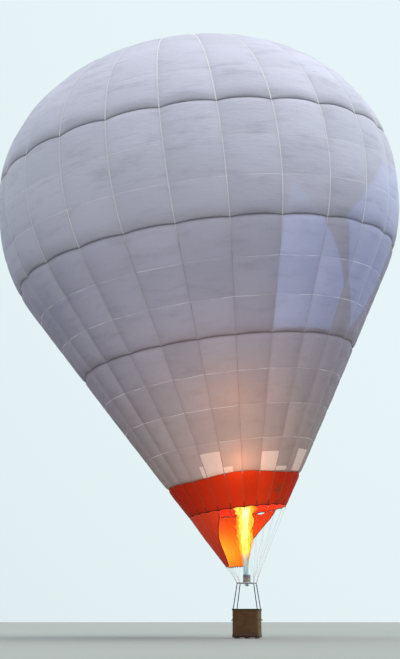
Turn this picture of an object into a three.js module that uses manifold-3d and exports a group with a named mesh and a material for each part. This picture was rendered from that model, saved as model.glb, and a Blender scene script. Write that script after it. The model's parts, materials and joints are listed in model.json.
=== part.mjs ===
// A hot air balloon of about 2,200 cubic metres, full size.
// Millimetres, +Z up, -Y is the front and +X the right-hand side of the basket.
// The origin is the centre of lift, on the envelope's axis. The envelope leans to -X over an upright basket.
// Envelope sizes are measured along its axis from the mouth. Basket sizes are measured up from the ground.

import * as THREE from 'three';
import { mergeVertices } from 'three/addons/utils/BufferGeometryUtils.js';
import Module from 'manifold-3d';

const wasm = await Module();
wasm.setup();

// Driving sizes of the envelope
const GORES = 24;
const COLUMNS = 2 * GORES;
const LEAN = THREE.MathUtils.degToRad(7.1);
const MOUTH_RADIUS = 1878.5;
const CONE_ANGLE = THREE.MathUtils.degToRad(30.26);
const CONE_TOP = 8917;
const SHOULDER_RADIUS = 6711;
const DOME_HEIGHT = 6555;
const DOME_POWER = 2.185;
const LIFT_CENTRE = 11100;
const SHELL = 10;
const GORE_BULGE = 95;
const RING_D = 1187;
const RING_C = 5831;
const RING_B = 9595;
const RING_A = 13804;
const VENT_OPENING_RADIUS = 2350;
const VENT_RADIUS = 2600;
const VENT_GAP = 0.5;

// Driving sizes of the mouth rigging
const HEM_HEIGHT = 25;
const HEM_INSIDE = 22;
const HEM_OUTSIDE = 6;
const WIRE_RADIUS = 2.5;
const SCOOP_REACH = 0.81;
const SCOOP_FIRST_TAPE = 9;
const SCOOP_LAST_TAPE = 23;
const SCOOP_ROWS = 5;
const SCOOP_CLEARANCE = 1.5;
const BAR_RADIUS = 5.5;
const LINK_RADIUS = 16.5;
const LINK_STRAIGHT = 45;
const EYE_RADIUS = 7.5;
const EYE_RIM = 8;
const EYE_SIDES = 16;
const PLATE = 8;
const LUG_RISE = 46;
const FERRULE_LENGTH = 46;

// Driving sizes of the burner and its frame
const FRAME_HEIGHT = 2065;
const FRAME_TO_MOUTH = 2721;
const FRAME_WIDTH = 662;
const FRAME_DEPTH = 912;
const FRAME_CORNER = 60;
const FRAME_TUBE = 19;
const GIMBAL_WIDTH = 510;
const GIMBAL_DEPTH = 740;
const GIMBAL_CORNER = 45;
const GIMBAL_TUBE = 14;
const PIVOT_PIN = 10;
const PIVOT_BORE = 10.4;
const PIVOT_BLOCK = 44;
const BURNER_SPACING = 330;
const CAN_RADIUS = 126;
const CAN_WALL = 4;
const CAN_HEIGHT = 292;
const COIL_RADIUS = 112;
const COIL_WALL = 14;
const COIL_HEIGHT = 260;
const TRAY = 8;
const BEAM = 40;

// Driving sizes of the basket
const BASKET_WIDTH = 1000;
const BASKET_DEPTH = 1200;
const BASKET_CORNER = 120;
const BASKET_HEIGHT = 1100;
const WALL = 30;
const RUNNER_HEIGHT = 35;
const RUNNER_WIDTH = 60;
const RIM_HEIGHT = 50;
const RIM_WIDTH = 64;
const FLOOR = 18;
const TRIM_HEIGHT = 150;
const TRIM = 6;
const UPRIGHT_RADIUS = 18;
const STUB_RADIUS = 20;
const STUB_DROP = 50;
const CYLINDER_RADIUS = 145;
const CYLINDER_HEIGHT = 760;
const CYLINDER_X = 300;
const CYLINDER_Y = 400;
const STEP_WIDTH = 170;
const STEP_HEIGHT = 110;
const STEP_FROM_GROUND = 360;
const STEP_Y = 0;
const HANDLE_RADIUS = 11;
const HANDLE_REACH = 85;
const HANDLE_HEIGHT = 720;
const HANDLE_Y = 330;

const GAP = 0.3;

// Corner name, side along X, side along Y, first of its six load tapes (counted from -Y towards +X)
const CORNERS = [
  ['front_right', 1, -1, 0],
  ['back_right', 1, 1, 6],
  ['back_left', -1, 1, 12],
  ['front_left', -1, -1, 18],
];

const FABRIC = 0xc9c9d2;
const RED = 0xb5241c;
const STEEL = 0xb9bcc0;
const DARK_STEEL = 0x5a5d61;
const ALUMINIUM = 0xb8babd;
const WICKER = 0x8a6238;
const LEATHER = 0x4a3022;
const SLEEVE = 0x2b2b2e;
const WEBBING = 0x2a2426;
const GRIP = 0xa01818;
const BOARD = 0xa58a62;
const ASH = 0x9a7a4d;
const ROPE = 0xb79a68;

const balloon = new THREE.Group();
const envelope = new THREE.Group();
envelope.rotation.y = -LEAN;
balloon.add(envelope);

const frameDistance = LIFT_CENTRE + FRAME_TO_MOUTH;
const basket = new THREE.Group();
basket.position.set(
  frameDistance * Math.sin(LEAN), 0, -frameDistance * Math.cos(LEAN) - FRAME_HEIGHT);
balloon.add(basket);
balloon.updateMatrixWorld(true);

function addPiece(parent, name, geometry, colour, roughness, metalness = 0) {
  const material = new THREE.MeshStandardMaterial({ color: colour, roughness, metalness });
  const mesh = new THREE.Mesh(geometry, material);
  mesh.name = name;
  parent.add(mesh);
  return mesh;
}

// Solids

function signedVolume(points, faces) {
  let sum = 0;
  for (const [a, b, c] of faces) {
    sum += points[a].dot(new THREE.Vector3().crossVectors(points[b], points[c]));
  }
  return sum / 6;
}

// A closed body from its corners and triangles, turned so that its faces point out
function closedBody(points, faces) {
  const outward = signedVolume(points, faces) > 0;
  const geometry = new THREE.BufferGeometry();
  const flat = points.flatMap((p) => [p.x, p.y, p.z]);
  const index = faces.flatMap(([a, b, c]) => (outward ? [a, b, c] : [a, c, b]));
  geometry.setAttribute('position', new THREE.Float32BufferAttribute(flat, 3));
  geometry.setIndex(index);
  return geometry;
}

function quad(a, b, c, d) {
  return [[a, b, c], [a, c, d]];
}

// Joins closed loops of points, each as long as the next, into a skin
// When wrap is set, the last loop meets the first
function loopFaces(loops, size, wrap) {
  const faces = [];
  const last = wrap ? loops : loops - 1;
  for (let i = 0; i < last; i += 1) {
    const here = i * size;
    const next = ((i + 1) % loops) * size;
    for (let j = 0; j < size; j += 1) {
      const k = (j + 1) % size;
      faces.push(...quad(here + j, here + k, next + k, next + j));
    }
  }
  return faces;
}

function toManifold(geometry) {
  const bare = geometry.clone();
  bare.deleteAttribute('normal');
  bare.deleteAttribute('uv');
  const merged = mergeVertices(bare, 1e-3);
  const mesh = new wasm.Mesh({
    numProp: 3,
    vertProperties: new Float32Array(merged.attributes.position.array),
    triVerts: new Uint32Array(merged.index.array),
  });
  return new wasm.Manifold(mesh);
}

function fromManifold(solid) {
  const mesh = solid.getMesh();
  const geometry = new THREE.BufferGeometry();
  geometry.setAttribute('position', new THREE.BufferAttribute(mesh.vertProperties, 3));
  geometry.setIndex(new THREE.BufferAttribute(mesh.triVerts, 1));
  return geometry;
}

function combine(additions, cuts = []) {
  let solid = toManifold(additions[0]);
  for (const extra of additions.slice(1)) {
    solid = solid.add(toManifold(extra));
  }
  for (const cut of cuts) {
    solid = solid.subtract(toManifold(cut));
  }
  return fromManifold(solid);
}

function box(width, depth, height, x, y, z) {
  return new THREE.BoxGeometry(width, depth, height).translate(x, y, z);
}

// A round bar between two points
function bar(from, to, radius, sides = 20) {
  const along = new THREE.Vector3().subVectors(to, from);
  const geometry = new THREE.CylinderGeometry(radius, radius, along.length(), sides);
  const upright = new THREE.Vector3(0, 1, 0);
  const turn = new THREE.Quaternion().setFromUnitVectors(upright, along.clone().normalize());
  const middle = new THREE.Vector3().addVectors(from, to).multiplyScalar(0.5);
  return geometry.applyQuaternion(turn).translate(middle.x, middle.y, middle.z);
}

// A leaning round bar whose two ends are cut level
function levelBar(low, high, radius, sides = 12) {
  const points = [];
  for (const end of [low, high]) {
    for (let j = 0; j < sides; j += 1) {
      const angle = (2 * Math.PI * j) / sides;
      const x = end.x + radius * Math.cos(angle);
      const y = end.y + radius * Math.sin(angle);
      points.push(new THREE.Vector3(x, y, end.z));
    }
  }
  const faces = loopFaces(2, sides, false);
  for (let j = 1; j < sides - 1; j += 1) {
    faces.push([0, j + 1, j]);
    faces.push([sides, sides + j, sides + j + 1]);
  }
  return closedBody(points, faces);
}

// A rectangle with round corners, as points with their outward direction
function roundedRectangle(width, depth, corner, steps) {
  const path = [];
  const centres = [[1, 1], [-1, 1], [-1, -1], [1, -1]];
  centres.forEach(([sideX, sideY], quarter) => {
    for (let i = 0; i <= steps; i += 1) {
      const angle = (Math.PI / 2) * (quarter + i / steps);
      const nx = Math.cos(angle);
      const ny = Math.sin(angle);
      const x = sideX * (width / 2 - corner) + corner * nx;
      const y = sideY * (depth / 2 - corner) + corner * ny;
      path.push({ x, y, nx, ny });
    }
  });
  return path;
}

function roundSection(radius, sides) {
  const section = [];
  for (let j = 0; j < sides; j += 1) {
    const angle = (2 * Math.PI * (j + 0.5)) / sides;
    section.push([radius * Math.cos(angle), radius * Math.sin(angle)]);
  }
  return section;
}

function squareSection(inside, outside, low, high) {
  return [[inside, low], [outside, low], [outside, high], [inside, high]];
}

// A section carried round a closed level path; the section is given as outward and upward distances
function sweptLoop(path, section) {
  const points = path.flatMap((p) => section.map(
    ([out, up]) => new THREE.Vector3(p.x + p.nx * out, p.y + p.ny * out, up)));
  return closedBody(points, loopFaces(path.length, section.length, true));
}

function lathe(outline, segments) {
  const profile = outline.map(([radius, height]) => new THREE.Vector2(radius, height));
  return new THREE.LatheGeometry(profile, segments).rotateX(Math.PI / 2);
}

function tube(inner, outer, low, high, segments) {
  return lathe([[inner, low], [outer, low], [outer, high], [inner, high], [inner, low]], segments);
}

// Profile of the envelope

const coneTopRadius = MOUTH_RADIUS + CONE_TOP * Math.tan(CONE_ANGLE);
const equator = CONE_TOP + SHOULDER_RADIUS * Math.sin(CONE_ANGLE);
const equatorRadius = coneTopRadius + SHOULDER_RADIUS * (1 - Math.cos(CONE_ANGLE));
const envelopeTop = equator + DOME_HEIGHT;

// A station is a radius and a height above the mouth, with the outward direction there
function stationAtHeight(height) {
  let radius;
  let slope;
  if (height <= CONE_TOP) {
    radius = MOUTH_RADIUS + height * Math.tan(CONE_ANGLE);
    slope = Math.tan(CONE_ANGLE);
  } else if (height <= equator) {
    const below = equator - height;
    const across = Math.sqrt(SHOULDER_RADIUS ** 2 - below ** 2);
    radius = equatorRadius - SHOULDER_RADIUS + across;
    slope = below / across;
  } else {
    const t = (height - equator) / DOME_HEIGHT;
    const rest = 1 - t ** DOME_POWER;
    radius = equatorRadius * rest ** (1 / DOME_POWER);
    slope = -(equatorRadius / DOME_HEIGHT) * t ** (DOME_POWER - 1) * rest ** (1 / DOME_POWER - 1);
  }
  const length = Math.hypot(1, slope);
  return { radius, height, outR: 1 / length, outZ: -slope / length };
}

function stationAtRadius(radius) {
  const t = radius / equatorRadius;
  const rest = 1 - t ** DOME_POWER;
  const height = equator + DOME_HEIGHT * rest ** (1 / DOME_POWER);
  const slope = -(DOME_HEIGHT / equatorRadius) * t ** (DOME_POWER - 1) * rest ** (1 / DOME_POWER - 1);
  const length = Math.hypot(1, slope);
  return { radius, height, outR: -slope / length, outZ: 1 / length };
}

function stationsBetween(low, high, rows) {
  return Array.from({ length: rows + 1 }, (_, i) => stationAtHeight(low + ((high - low) * i) / rows));
}

// The gores swell between their tapes, most at the equator and not at all at the mouth or round the vent
const ventRim = stationAtRadius(VENT_RADIUS).height;
function goreBulge(station, column) {
  if (column % 2 === 0) {
    return 0;
  }
  const share = Math.min(Math.max(station.height / ventRim, 0), 1);
  return GORE_BULGE * Math.sin(Math.PI * share);
}

// A point of the envelope, a distance out from the profile, in the envelope's own frame
function envelopePoint(station, column, out) {
  const azimuth = (2 * Math.PI * column) / COLUMNS;
  const radius = station.radius + station.outR * out;
  const height = station.height + station.outZ * out - LIFT_CENTRE;
  return new THREE.Vector3(radius * Math.sin(azimuth), -radius * Math.cos(azimuth), height);
}

// One band of the envelope: outer skin up, inner skin down, joined at both edges
function envelopeBand(stations) {
  const layers = [
    ...stations.map((station) => [station, 0]),
    ...stations.slice().reverse().map((station) => [station, -SHELL]),
  ];
  const points = layers.flatMap(([station, out]) => Array.from(
    { length: COLUMNS }, (_, column) => envelopePoint(station, column, out + goreBulge(station, column))));
  return closedBody(points, loopFaces(layers.length, COLUMNS, true));
}

// Envelope bands: name, lower edge, upper edge, rows, colour
const BANDS = [
  ['mouth_band', 0, RING_D, 1, RED],
  ['envelope_lower', RING_D, RING_C, 3, FABRIC],
  ['envelope_middle', RING_C, RING_B, 3, FABRIC],
  ['envelope_upper', RING_B, RING_A, 4, FABRIC],
];
for (const [name, low, high, rows, colour] of BANDS) {
  addPiece(envelope, name, envelopeBand(stationsBetween(low, high - GAP, rows)), colour, 0.7);
}

const CROWN_RADII = [7350, 6550, 5400, 4000];
const crownStations = [
  stationAtHeight(RING_A),
  ...CROWN_RADII.map(stationAtRadius),
  stationAtRadius(VENT_RADIUS),
  stationAtRadius(VENT_OPENING_RADIUS),
];
addPiece(envelope, 'envelope_crown', envelopeBand(crownStations), FABRIC, 0.7);

// The parachute vent lies under the edge of the crown opening
const VENT_RADII = [VENT_RADIUS, VENT_OPENING_RADIUS, 1600, 800];
function parachuteVent() {
  const stations = VENT_RADII.map(stationAtRadius);
  const top = -SHELL - VENT_GAP;
  const layers = [
    ...stations.slice().reverse().map((station) => [station, top - SHELL]),
    ...stations.map((station) => [station, top]),
  ];
  const points = layers.flatMap(([station, out]) => Array.from(
    { length: COLUMNS }, (_, column) => envelopePoint(station, column, out)));
  const faces = loopFaces(layers.length, COLUMNS, false);
  const last = (layers.length - 1) * COLUMNS;
  const lowerPole = points.length;
  const upperPole = lowerPole + 1;
  points.push(new THREE.Vector3(0, 0, envelopeTop - LIFT_CENTRE + top - SHELL));
  points.push(new THREE.Vector3(0, 0, envelopeTop - LIFT_CENTRE + top));
  for (let column = 0; column < COLUMNS; column += 1) {
    const next = (column + 1) % COLUMNS;
    faces.push([lowerPole, next, column]);
    faces.push([upperPole, last + column, last + next]);
  }
  return closedBody(points, faces);
}
addPiece(envelope, 'parachute_vent', parachuteVent(), FABRIC, 0.7);

// Crown ring with the 24 load tapes that cross the vent opening
const CROWN_RING_RADIUS = 125;
const CROWN_RING_BORE = 95;
const CROWN_RING_HEIGHT = 24;
const CROWN_TAPE_WIDTH = 24;
const CROWN_TAPE = 4;
const CROWN_TAPE_RADII = [VENT_RADIUS, VENT_OPENING_RADIUS, 1600, 800, 110];
function crownTape(tape) {
  const azimuth = (2 * Math.PI * tape) / GORES;
  const sideways = new THREE.Vector3(Math.cos(azimuth), Math.sin(azimuth), 0);
  const points = CROWN_TAPE_RADII.flatMap((radius) => {
    const station = stationAtRadius(radius);
    const low = envelopePoint(station, 2 * tape, GAP);
    const high = envelopePoint(station, 2 * tape, GAP + CROWN_TAPE);
    return [[low, -1], [low, 1], [high, 1], [high, -1]].map(
      ([point, side]) => point.clone().addScaledVector(sideways, (side * CROWN_TAPE_WIDTH) / 2));
  });
  const last = points.length - 4;
  const faces = loopFaces(CROWN_TAPE_RADII.length, 4, false);
  faces.push(...quad(3, 2, 1, 0));
  faces.push(...quad(last, last + 1, last + 2, last + 3));
  return closedBody(points, faces);
}
const crownTop = envelopeTop - LIFT_CENTRE;
const crownTapes = Array.from({ length: GORES }, (_, tape) => crownTape(tape));
const ringFoot = crownTop - 2;
const ringHead = ringFoot + CROWN_RING_HEIGHT;
const crownRing = tube(CROWN_RING_BORE, CROWN_RING_RADIUS, ringFoot, ringHead, GORES);
addPiece(envelope, 'crown_ring', combine([crownRing, ...crownTapes]), STEEL, 0.4, 0.6);

// Mouth hem: a heavy tape round the mouth, just under the red band
const mouthZ = -LIFT_CENTRE;
const hemTop = mouthZ - GAP;
const hemBottom = hemTop - HEM_HEIGHT;
const hem = tube(MOUTH_RADIUS - HEM_INSIDE, MOUTH_RADIUS + HEM_OUTSIDE, hemBottom, hemTop, COLUMNS)
  .rotateZ(-Math.PI / 2);
addPiece(envelope, 'mouth_hem', hem, WEBBING, 0.8);

// Places on the mouth and on the frame, in the basket's frame

function tapeDirection(tape) {
  const azimuth = (2 * Math.PI * tape) / GORES;
  return new THREE.Vector3(Math.sin(azimuth), -Math.cos(azimuth), 0);
}

function hemPoint(tape) {
  return tapeDirection(tape).multiplyScalar(MOUTH_RADIUS).setZ(hemBottom - GAP);
}

function toBasket(point) {
  return basket.worldToLocal(envelope.localToWorld(point.clone()));
}

function toEnvelope(point) {
  return envelope.worldToLocal(basket.localToWorld(point.clone()));
}

const cornerInset = FRAME_CORNER * (1 - Math.SQRT1_2);
function frameCorner(sideX, sideY) {
  return new THREE.Vector3(
    sideX * (FRAME_WIDTH / 2 - cornerInset), sideY * (FRAME_DEPTH / 2 - cornerInset), FRAME_HEIGHT);
}

// The pull of a corner's six wires, and where its lug, karabiner and wire eye lie along it
const LINK_STEPS = 8;
const linkRise = (PLATE / 2) * Math.tan(Math.PI / (2 * LINK_STEPS));
const eyeSeat = EYE_RADIUS * Math.cos(Math.PI / EYE_SIDES) - BAR_RADIUS - linkRise - GAP;
const linkLength = LINK_STRAIGHT + 2 * LINK_RADIUS;

function cornerLayout([name, sideX, sideY, firstTape]) {
  const corner = frameCorner(sideX, sideY);
  const tapes = Array.from({ length: GORES / 4 }, (_, i) => firstTape + i);
  const middle = new THREE.Vector3();
  tapes.forEach((tape) => middle.add(toBasket(hemPoint(tape))));
  middle.divideScalar(tapes.length);
  const pull = middle.sub(corner).normalize();
  const across = new THREE.Vector3(0, 0, 1).cross(pull).normalize();
  const outward = new THREE.Vector3().crossVectors(pull, across);
  const lugEye = corner.clone().addScaledVector(pull, LUG_RISE);
  const linkLow = lugEye.clone().addScaledVector(pull, eyeSeat);
  const wireEye = linkLow.clone().addScaledVector(pull, linkLength + eyeSeat);
  const ferruleTop = wireEye.clone().addScaledVector(pull, FERRULE_LENGTH);
  return { name, sideX, sideY, tapes, corner, pull, across, outward, lugEye, linkLow, wireEye, ferruleTop };
}
const layouts = CORNERS.map(cornerLayout);

// Turns a piece made with its length along Z and its thickness along X to lie along a corner's pull
function alongPull(geometry, layout, place) {
  const matrix = new THREE.Matrix4().makeBasis(layout.across, layout.outward, layout.pull);
  matrix.setPosition(place);
  return geometry.applyMatrix4(matrix);
}

// A plate round an eye, with a tail that runs down from it
function eyePlate(tail, tailWidth) {
  const ring = new THREE.CylinderGeometry(EYE_RADIUS + EYE_RIM, EYE_RADIUS + EYE_RIM, PLATE, EYE_SIDES);
  ring.rotateZ(Math.PI / 2);
  return [ring, box(PLATE, tailWidth, Math.abs(tail), 0, 0, tail / 2)];
}

function eyeHole() {
  return new THREE.CylinderGeometry(EYE_RADIUS, EYE_RADIUS, 3 * PLATE, EYE_SIDES).rotateZ(Math.PI / 2);
}

// Karabiner: an oval ring of round bar
function karabiner() {
  const sides = 8;
  const path = [];
  for (const [end, first] of [[1, 0], [-1, Math.PI]]) {
    for (let i = 0; i <= LINK_STEPS; i += 1) {
      const angle = first + (Math.PI * i) / LINK_STEPS;
      const y = Math.sin(angle);
      path.push({
        x: LINK_RADIUS * Math.cos(angle),
        y: (end * LINK_STRAIGHT) / 2 + LINK_RADIUS * y,
        nx: Math.cos(angle),
        ny: y,
      });
    }
  }
  return sweptLoop(path, roundSection(BAR_RADIUS, sides)).rotateX(Math.PI / 2);
}

const FERRULE_RADIUS = 13;
const WIRE_IN_FERRULE = 10;
const WIRE_SPARE = 20;
const CUT_WIDTH = 6000;
const CUT_HEIGHT = 200;
for (const layout of layouts) {
  const linkMiddle = layout.linkLow.clone().addScaledVector(layout.pull, linkLength / 2);
  addPiece(basket, `karabiner_${layout.name}`, alongPull(karabiner(), layout, linkMiddle), STEEL, 0.35, 0.9);

  const eye = eyePlate(FERRULE_LENGTH - 8, 2 * FERRULE_RADIUS)
    .map((plate) => alongPull(plate, layout, layout.wireEye));
  const ferruleFoot = layout.wireEye.clone().addScaledVector(layout.pull, EYE_RADIUS + EYE_RIM - 2);
  const ferrule = bar(ferruleFoot, layout.ferruleTop, FERRULE_RADIUS, 12);
  const wires = layout.tapes.map((tape) => {
    const end = toBasket(hemPoint(tape));
    const start = layout.ferruleTop.clone().addScaledVector(layout.pull, -WIRE_IN_FERRULE);
    const beyond = end.clone().addScaledVector(end.clone().sub(start).normalize(), WIRE_SPARE);
    return bar(start, beyond, WIRE_RADIUS, 6);
  });
  // The wires end level with the underside of the hem
  const above = box(CUT_WIDTH, CUT_WIDTH, CUT_HEIGHT, 0, 0, hemBottom - GAP + CUT_HEIGHT / 2)
    .applyMatrix4(envelope.matrixWorld).applyMatrix4(basket.matrixWorld.clone().invert());
  const hole = alongPull(eyeHole(), layout, layout.wireEye);
  addPiece(basket, `flying_wires_${layout.name}`,
    combine([ferrule, ...eye, ...wires], [above, hole]), STEEL, 0.4, 0.8);
}

// Scoop: a red skirt laid inside the wires from the hem down, open on the other ten gores
function scoop() {
  const tapes = [];
  for (let tape = SCOOP_FIRST_TAPE; tape <= SCOOP_LAST_TAPE; tape += 1) {
    tapes.push(tape);
  }
  const outside = WIRE_RADIUS + SCOOP_CLEARANCE;
  const grid = (inset) => Array.from({ length: SCOOP_ROWS + 1 }, (_, row) => tapes.map((tape) => {
    const layout = layouts[Math.floor(tape / (GORES / 4))];
    const high = hemPoint(tape);
    const low = toEnvelope(layout.ferruleTop);
    return high.lerp(low, (SCOOP_REACH * row) / SCOOP_ROWS).addScaledVector(tapeDirection(tape), -inset);
  }));
  const outer = grid(outside);
  const inner = grid(outside + SHELL);
  // Each row's loop runs along the outer skin and back along the inner one
  const loops = outer.map((line, row) => [...line, ...inner[row].slice().reverse()]);
  const size = loops[0].length;
  const faces = loopFaces(loops.length, size, false);
  const last = (loops.length - 1) * size;
  for (let i = 0; i < tapes.length - 1; i += 1) {
    faces.push(...quad(size - 1 - i, size - 2 - i, i + 1, i));
    faces.push(...quad(last + i, last + i + 1, last + size - 2 - i, last + size - 1 - i));
  }
  return closedBody(loops.flat(), faces);
}
addPiece(envelope, 'scoop', scoop(), RED, 0.75);

// Burner frame: a rounded rectangle of tube with lugs, upright stubs and two pivot blocks
const rimCornerInset = (BASKET_CORNER - WALL / 2) * (1 - Math.SQRT1_2);
function rimCorner(sideX, sideY, height) {
  return new THREE.Vector3(
    sideX * (BASKET_WIDTH / 2 - WALL / 2 - rimCornerInset),
    sideY * (BASKET_DEPTH / 2 - WALL / 2 - rimCornerInset), height);
}

function uprightPoint(layout, height) {
  const foot = rimCorner(layout.sideX, layout.sideY, BASKET_HEIGHT);
  const share = (height - BASKET_HEIGHT) / (FRAME_HEIGHT - BASKET_HEIGHT);
  return foot.lerp(layout.corner, share);
}

const stubBottom = FRAME_HEIGHT - STUB_DROP;
function burnerFrame() {
  const path = roundedRectangle(FRAME_WIDTH, FRAME_DEPTH, FRAME_CORNER, 4);
  const ring = sweptLoop(path, roundSection(FRAME_TUBE, 10)).translate(0, 0, FRAME_HEIGHT);
  const parts = [ring];
  const holes = [];
  for (const layout of layouts) {
    parts.push(levelBar(uprightPoint(layout, stubBottom), layout.corner, STUB_RADIUS));
    const plate = eyePlate(-LUG_RISE, 2 * (EYE_RADIUS + EYE_RIM));
    parts.push(...plate.map((g) => alongPull(g, layout, layout.lugEye)));
    holes.push(alongPull(eyeHole(), layout, layout.lugEye));
  }
  for (const side of [-1, 1]) {
    const x = (side * FRAME_WIDTH) / 2;
    parts.push(box(PIVOT_BLOCK, PIVOT_BLOCK, PIVOT_BLOCK, x, 0, FRAME_HEIGHT));
    holes.push(bar(new THREE.Vector3(x - PIVOT_BLOCK, 0, FRAME_HEIGHT),
      new THREE.Vector3(x + PIVOT_BLOCK, 0, FRAME_HEIGHT), PIVOT_BORE));
  }
  return combine(parts, holes);
}
addPiece(basket, 'burner_frame', burnerFrame(), STEEL, 0.35, 0.9);

for (const layout of layouts) {
  const foot = uprightPoint(layout, BASKET_HEIGHT + GAP);
  const head = uprightPoint(layout, stubBottom - GAP);
  addPiece(basket, `upright_${layout.name}`, levelBar(foot, head, UPRIGHT_RADIUS), SLEEVE, 0.8);
}

// Gimbal ring: turns about X on two pins in the frame, and carries the burner on bores along Y
const PIN_END = 14;
function gimbalRing() {
  const path = roundedRectangle(GIMBAL_WIDTH, GIMBAL_DEPTH, GIMBAL_CORNER, 3);
  const ring = sweptLoop(path, roundSection(GIMBAL_TUBE, 8)).translate(0, 0, FRAME_HEIGHT);
  const parts = [ring];
  const holes = [];
  for (const side of [-1, 1]) {
    parts.push(bar(new THREE.Vector3((side * GIMBAL_WIDTH) / 2, 0, FRAME_HEIGHT),
      new THREE.Vector3(side * (FRAME_WIDTH / 2 + PIN_END), 0, FRAME_HEIGHT), PIVOT_PIN));
    const y = (side * GIMBAL_DEPTH) / 2;
    parts.push(box(PIVOT_BLOCK, PIVOT_BLOCK, PIVOT_BLOCK, 0, y, FRAME_HEIGHT));
    holes.push(bar(new THREE.Vector3(0, y - PIVOT_BLOCK, FRAME_HEIGHT),
      new THREE.Vector3(0, y + PIVOT_BLOCK, FRAME_HEIGHT), PIVOT_BORE));
  }
  return combine(parts, holes);
}
addPiece(basket, 'gimbal_ring', gimbalRing(), STEEL, 0.35, 0.9);

// Burner block: the beam, its two pins, a tray and a valve body under each burner
const BEAM_LENGTH = 620;
const VALVE_DROP = 90;
const VALVE_WIDTH = 60;
const trayTop = FRAME_HEIGHT + BEAM / 2 + TRAY;
const valveBottom = FRAME_HEIGHT - BEAM / 2 - VALVE_DROP;
function burnerBlock() {
  const parts = [box(BEAM, BEAM_LENGTH, BEAM, 0, 0, FRAME_HEIGHT)];
  for (const side of [-1, 1]) {
    const y = (side * BURNER_SPACING) / 2;
    const trayFoot = new THREE.Vector3(0, y, trayTop - TRAY - 4);
    const trayHead = new THREE.Vector3(0, y, trayTop);
    parts.push(bar(new THREE.Vector3(0, side * (BEAM_LENGTH / 2 - 5), FRAME_HEIGHT),
      new THREE.Vector3(0, side * (GIMBAL_DEPTH / 2 + PIN_END), FRAME_HEIGHT), PIVOT_PIN));
    parts.push(bar(trayFoot, trayHead, CAN_RADIUS + 4, 32));
    parts.push(box(VALVE_WIDTH, VALVE_WIDTH, VALVE_DROP + 4, 0, y, valveBottom + VALVE_DROP / 2 + 2));
  }
  return combine(parts);
}
addPiece(basket, 'burner_block', burnerBlock(), DARK_STEEL, 0.4, 0.8);

const HANDLE_BAR = 16;
const HANDLE_LENGTH = 150;
for (const [name, side] of [['front', -1], ['rear', 1]]) {
  const y = (side * BURNER_SPACING) / 2;
  const base = trayTop + GAP;
  const can = tube(CAN_RADIUS - CAN_WALL, CAN_RADIUS, base, base + CAN_HEIGHT, 32).translate(0, y, 0);
  addPiece(basket, `burner_can_${name}`, can, STEEL, 0.3, 0.95);
  const coil = tube(COIL_RADIUS - COIL_WALL, COIL_RADIUS, base, base + COIL_HEIGHT, 32).translate(0, y, 0);
  addPiece(basket, `burner_coil_${name}`, coil, STEEL, 0.3, 0.95);
  const handle = box(HANDLE_BAR, HANDLE_LENGTH, HANDLE_BAR, 0,
    y - side * (HANDLE_LENGTH / 2 - VALVE_WIDTH / 2), valveBottom - GAP - HANDLE_BAR / 2);
  addPiece(basket, `blast_handle_${name}`, handle, GRIP, 0.5);
}

// Basket: woven wall with a foothold on each long side, board floor, padded rim, hide trim and runners
const basketPath = roundedRectangle(BASKET_WIDTH, BASKET_DEPTH, BASKET_CORNER, 4);
const wallBottom = RUNNER_HEIGHT + GAP;
const wallTop = BASKET_HEIGHT - RIM_HEIGHT - GAP;
function basketWall() {
  const wall = sweptLoop(basketPath, squareSection(-WALL, 0, wallBottom, wallTop));
  const steps = [-1, 1].map((side) => box(4 * WALL, STEP_WIDTH, STEP_HEIGHT,
    side * (BASKET_WIDTH / 2), STEP_Y, STEP_FROM_GROUND + STEP_HEIGHT / 2));
  return combine([wall], steps);
}
addPiece(basket, 'basket_wickerwork', basketWall(), WICKER, 0.85);

const floorInset = WALL + GAP;
const floorPath = roundedRectangle(
  BASKET_WIDTH - 2 * floorInset, BASKET_DEPTH - 2 * floorInset, BASKET_CORNER - floorInset, 4);
const floorShape = new THREE.Shape(floorPath.map((p) => new THREE.Vector2(p.x, p.y)));
const floorBoard = new THREE.ExtrudeGeometry(floorShape, { depth: FLOOR, bevelEnabled: false })
  .translate(0, 0, wallBottom);
addPiece(basket, 'basket_floor', floorBoard, BOARD, 0.7);

const RIM_ROUND = 16;
const rimInside = -WALL / 2 - RIM_WIDTH / 2;
const rimOutside = -WALL / 2 + RIM_WIDTH / 2;
const rimBottom = wallTop + GAP;
const rimSection = [
  [rimInside + RIM_ROUND / 2, rimBottom],
  [rimOutside - RIM_ROUND / 2, rimBottom],
  [rimOutside, rimBottom + RIM_ROUND],
  [rimOutside, BASKET_HEIGHT - RIM_ROUND],
  [rimOutside - RIM_ROUND, BASKET_HEIGHT],
  [rimInside + RIM_ROUND, BASKET_HEIGHT],
  [rimInside, BASKET_HEIGHT - RIM_ROUND],
  [rimInside, rimBottom + RIM_ROUND],
];
addPiece(basket, 'rim_padding', sweptLoop(basketPath, rimSection), LEATHER, 0.6);
addPiece(basket, 'base_trim',
  sweptLoop(basketPath, squareSection(GAP, GAP + TRIM, wallBottom, wallBottom + TRIM_HEIGHT)), LEATHER, 0.7);

// Runner name and its place along X
const RUNNERS = [['left', -380], ['middle', 0], ['right', 380]];
const RUNNER_LENGTH = 1140;
for (const [name, x] of RUNNERS) {
  const runner = box(RUNNER_WIDTH, RUNNER_LENGTH, RUNNER_HEIGHT, x, 0, RUNNER_HEIGHT / 2);
  addPiece(basket, `runner_${name}`, runner, ASH, 0.75);
}

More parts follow.
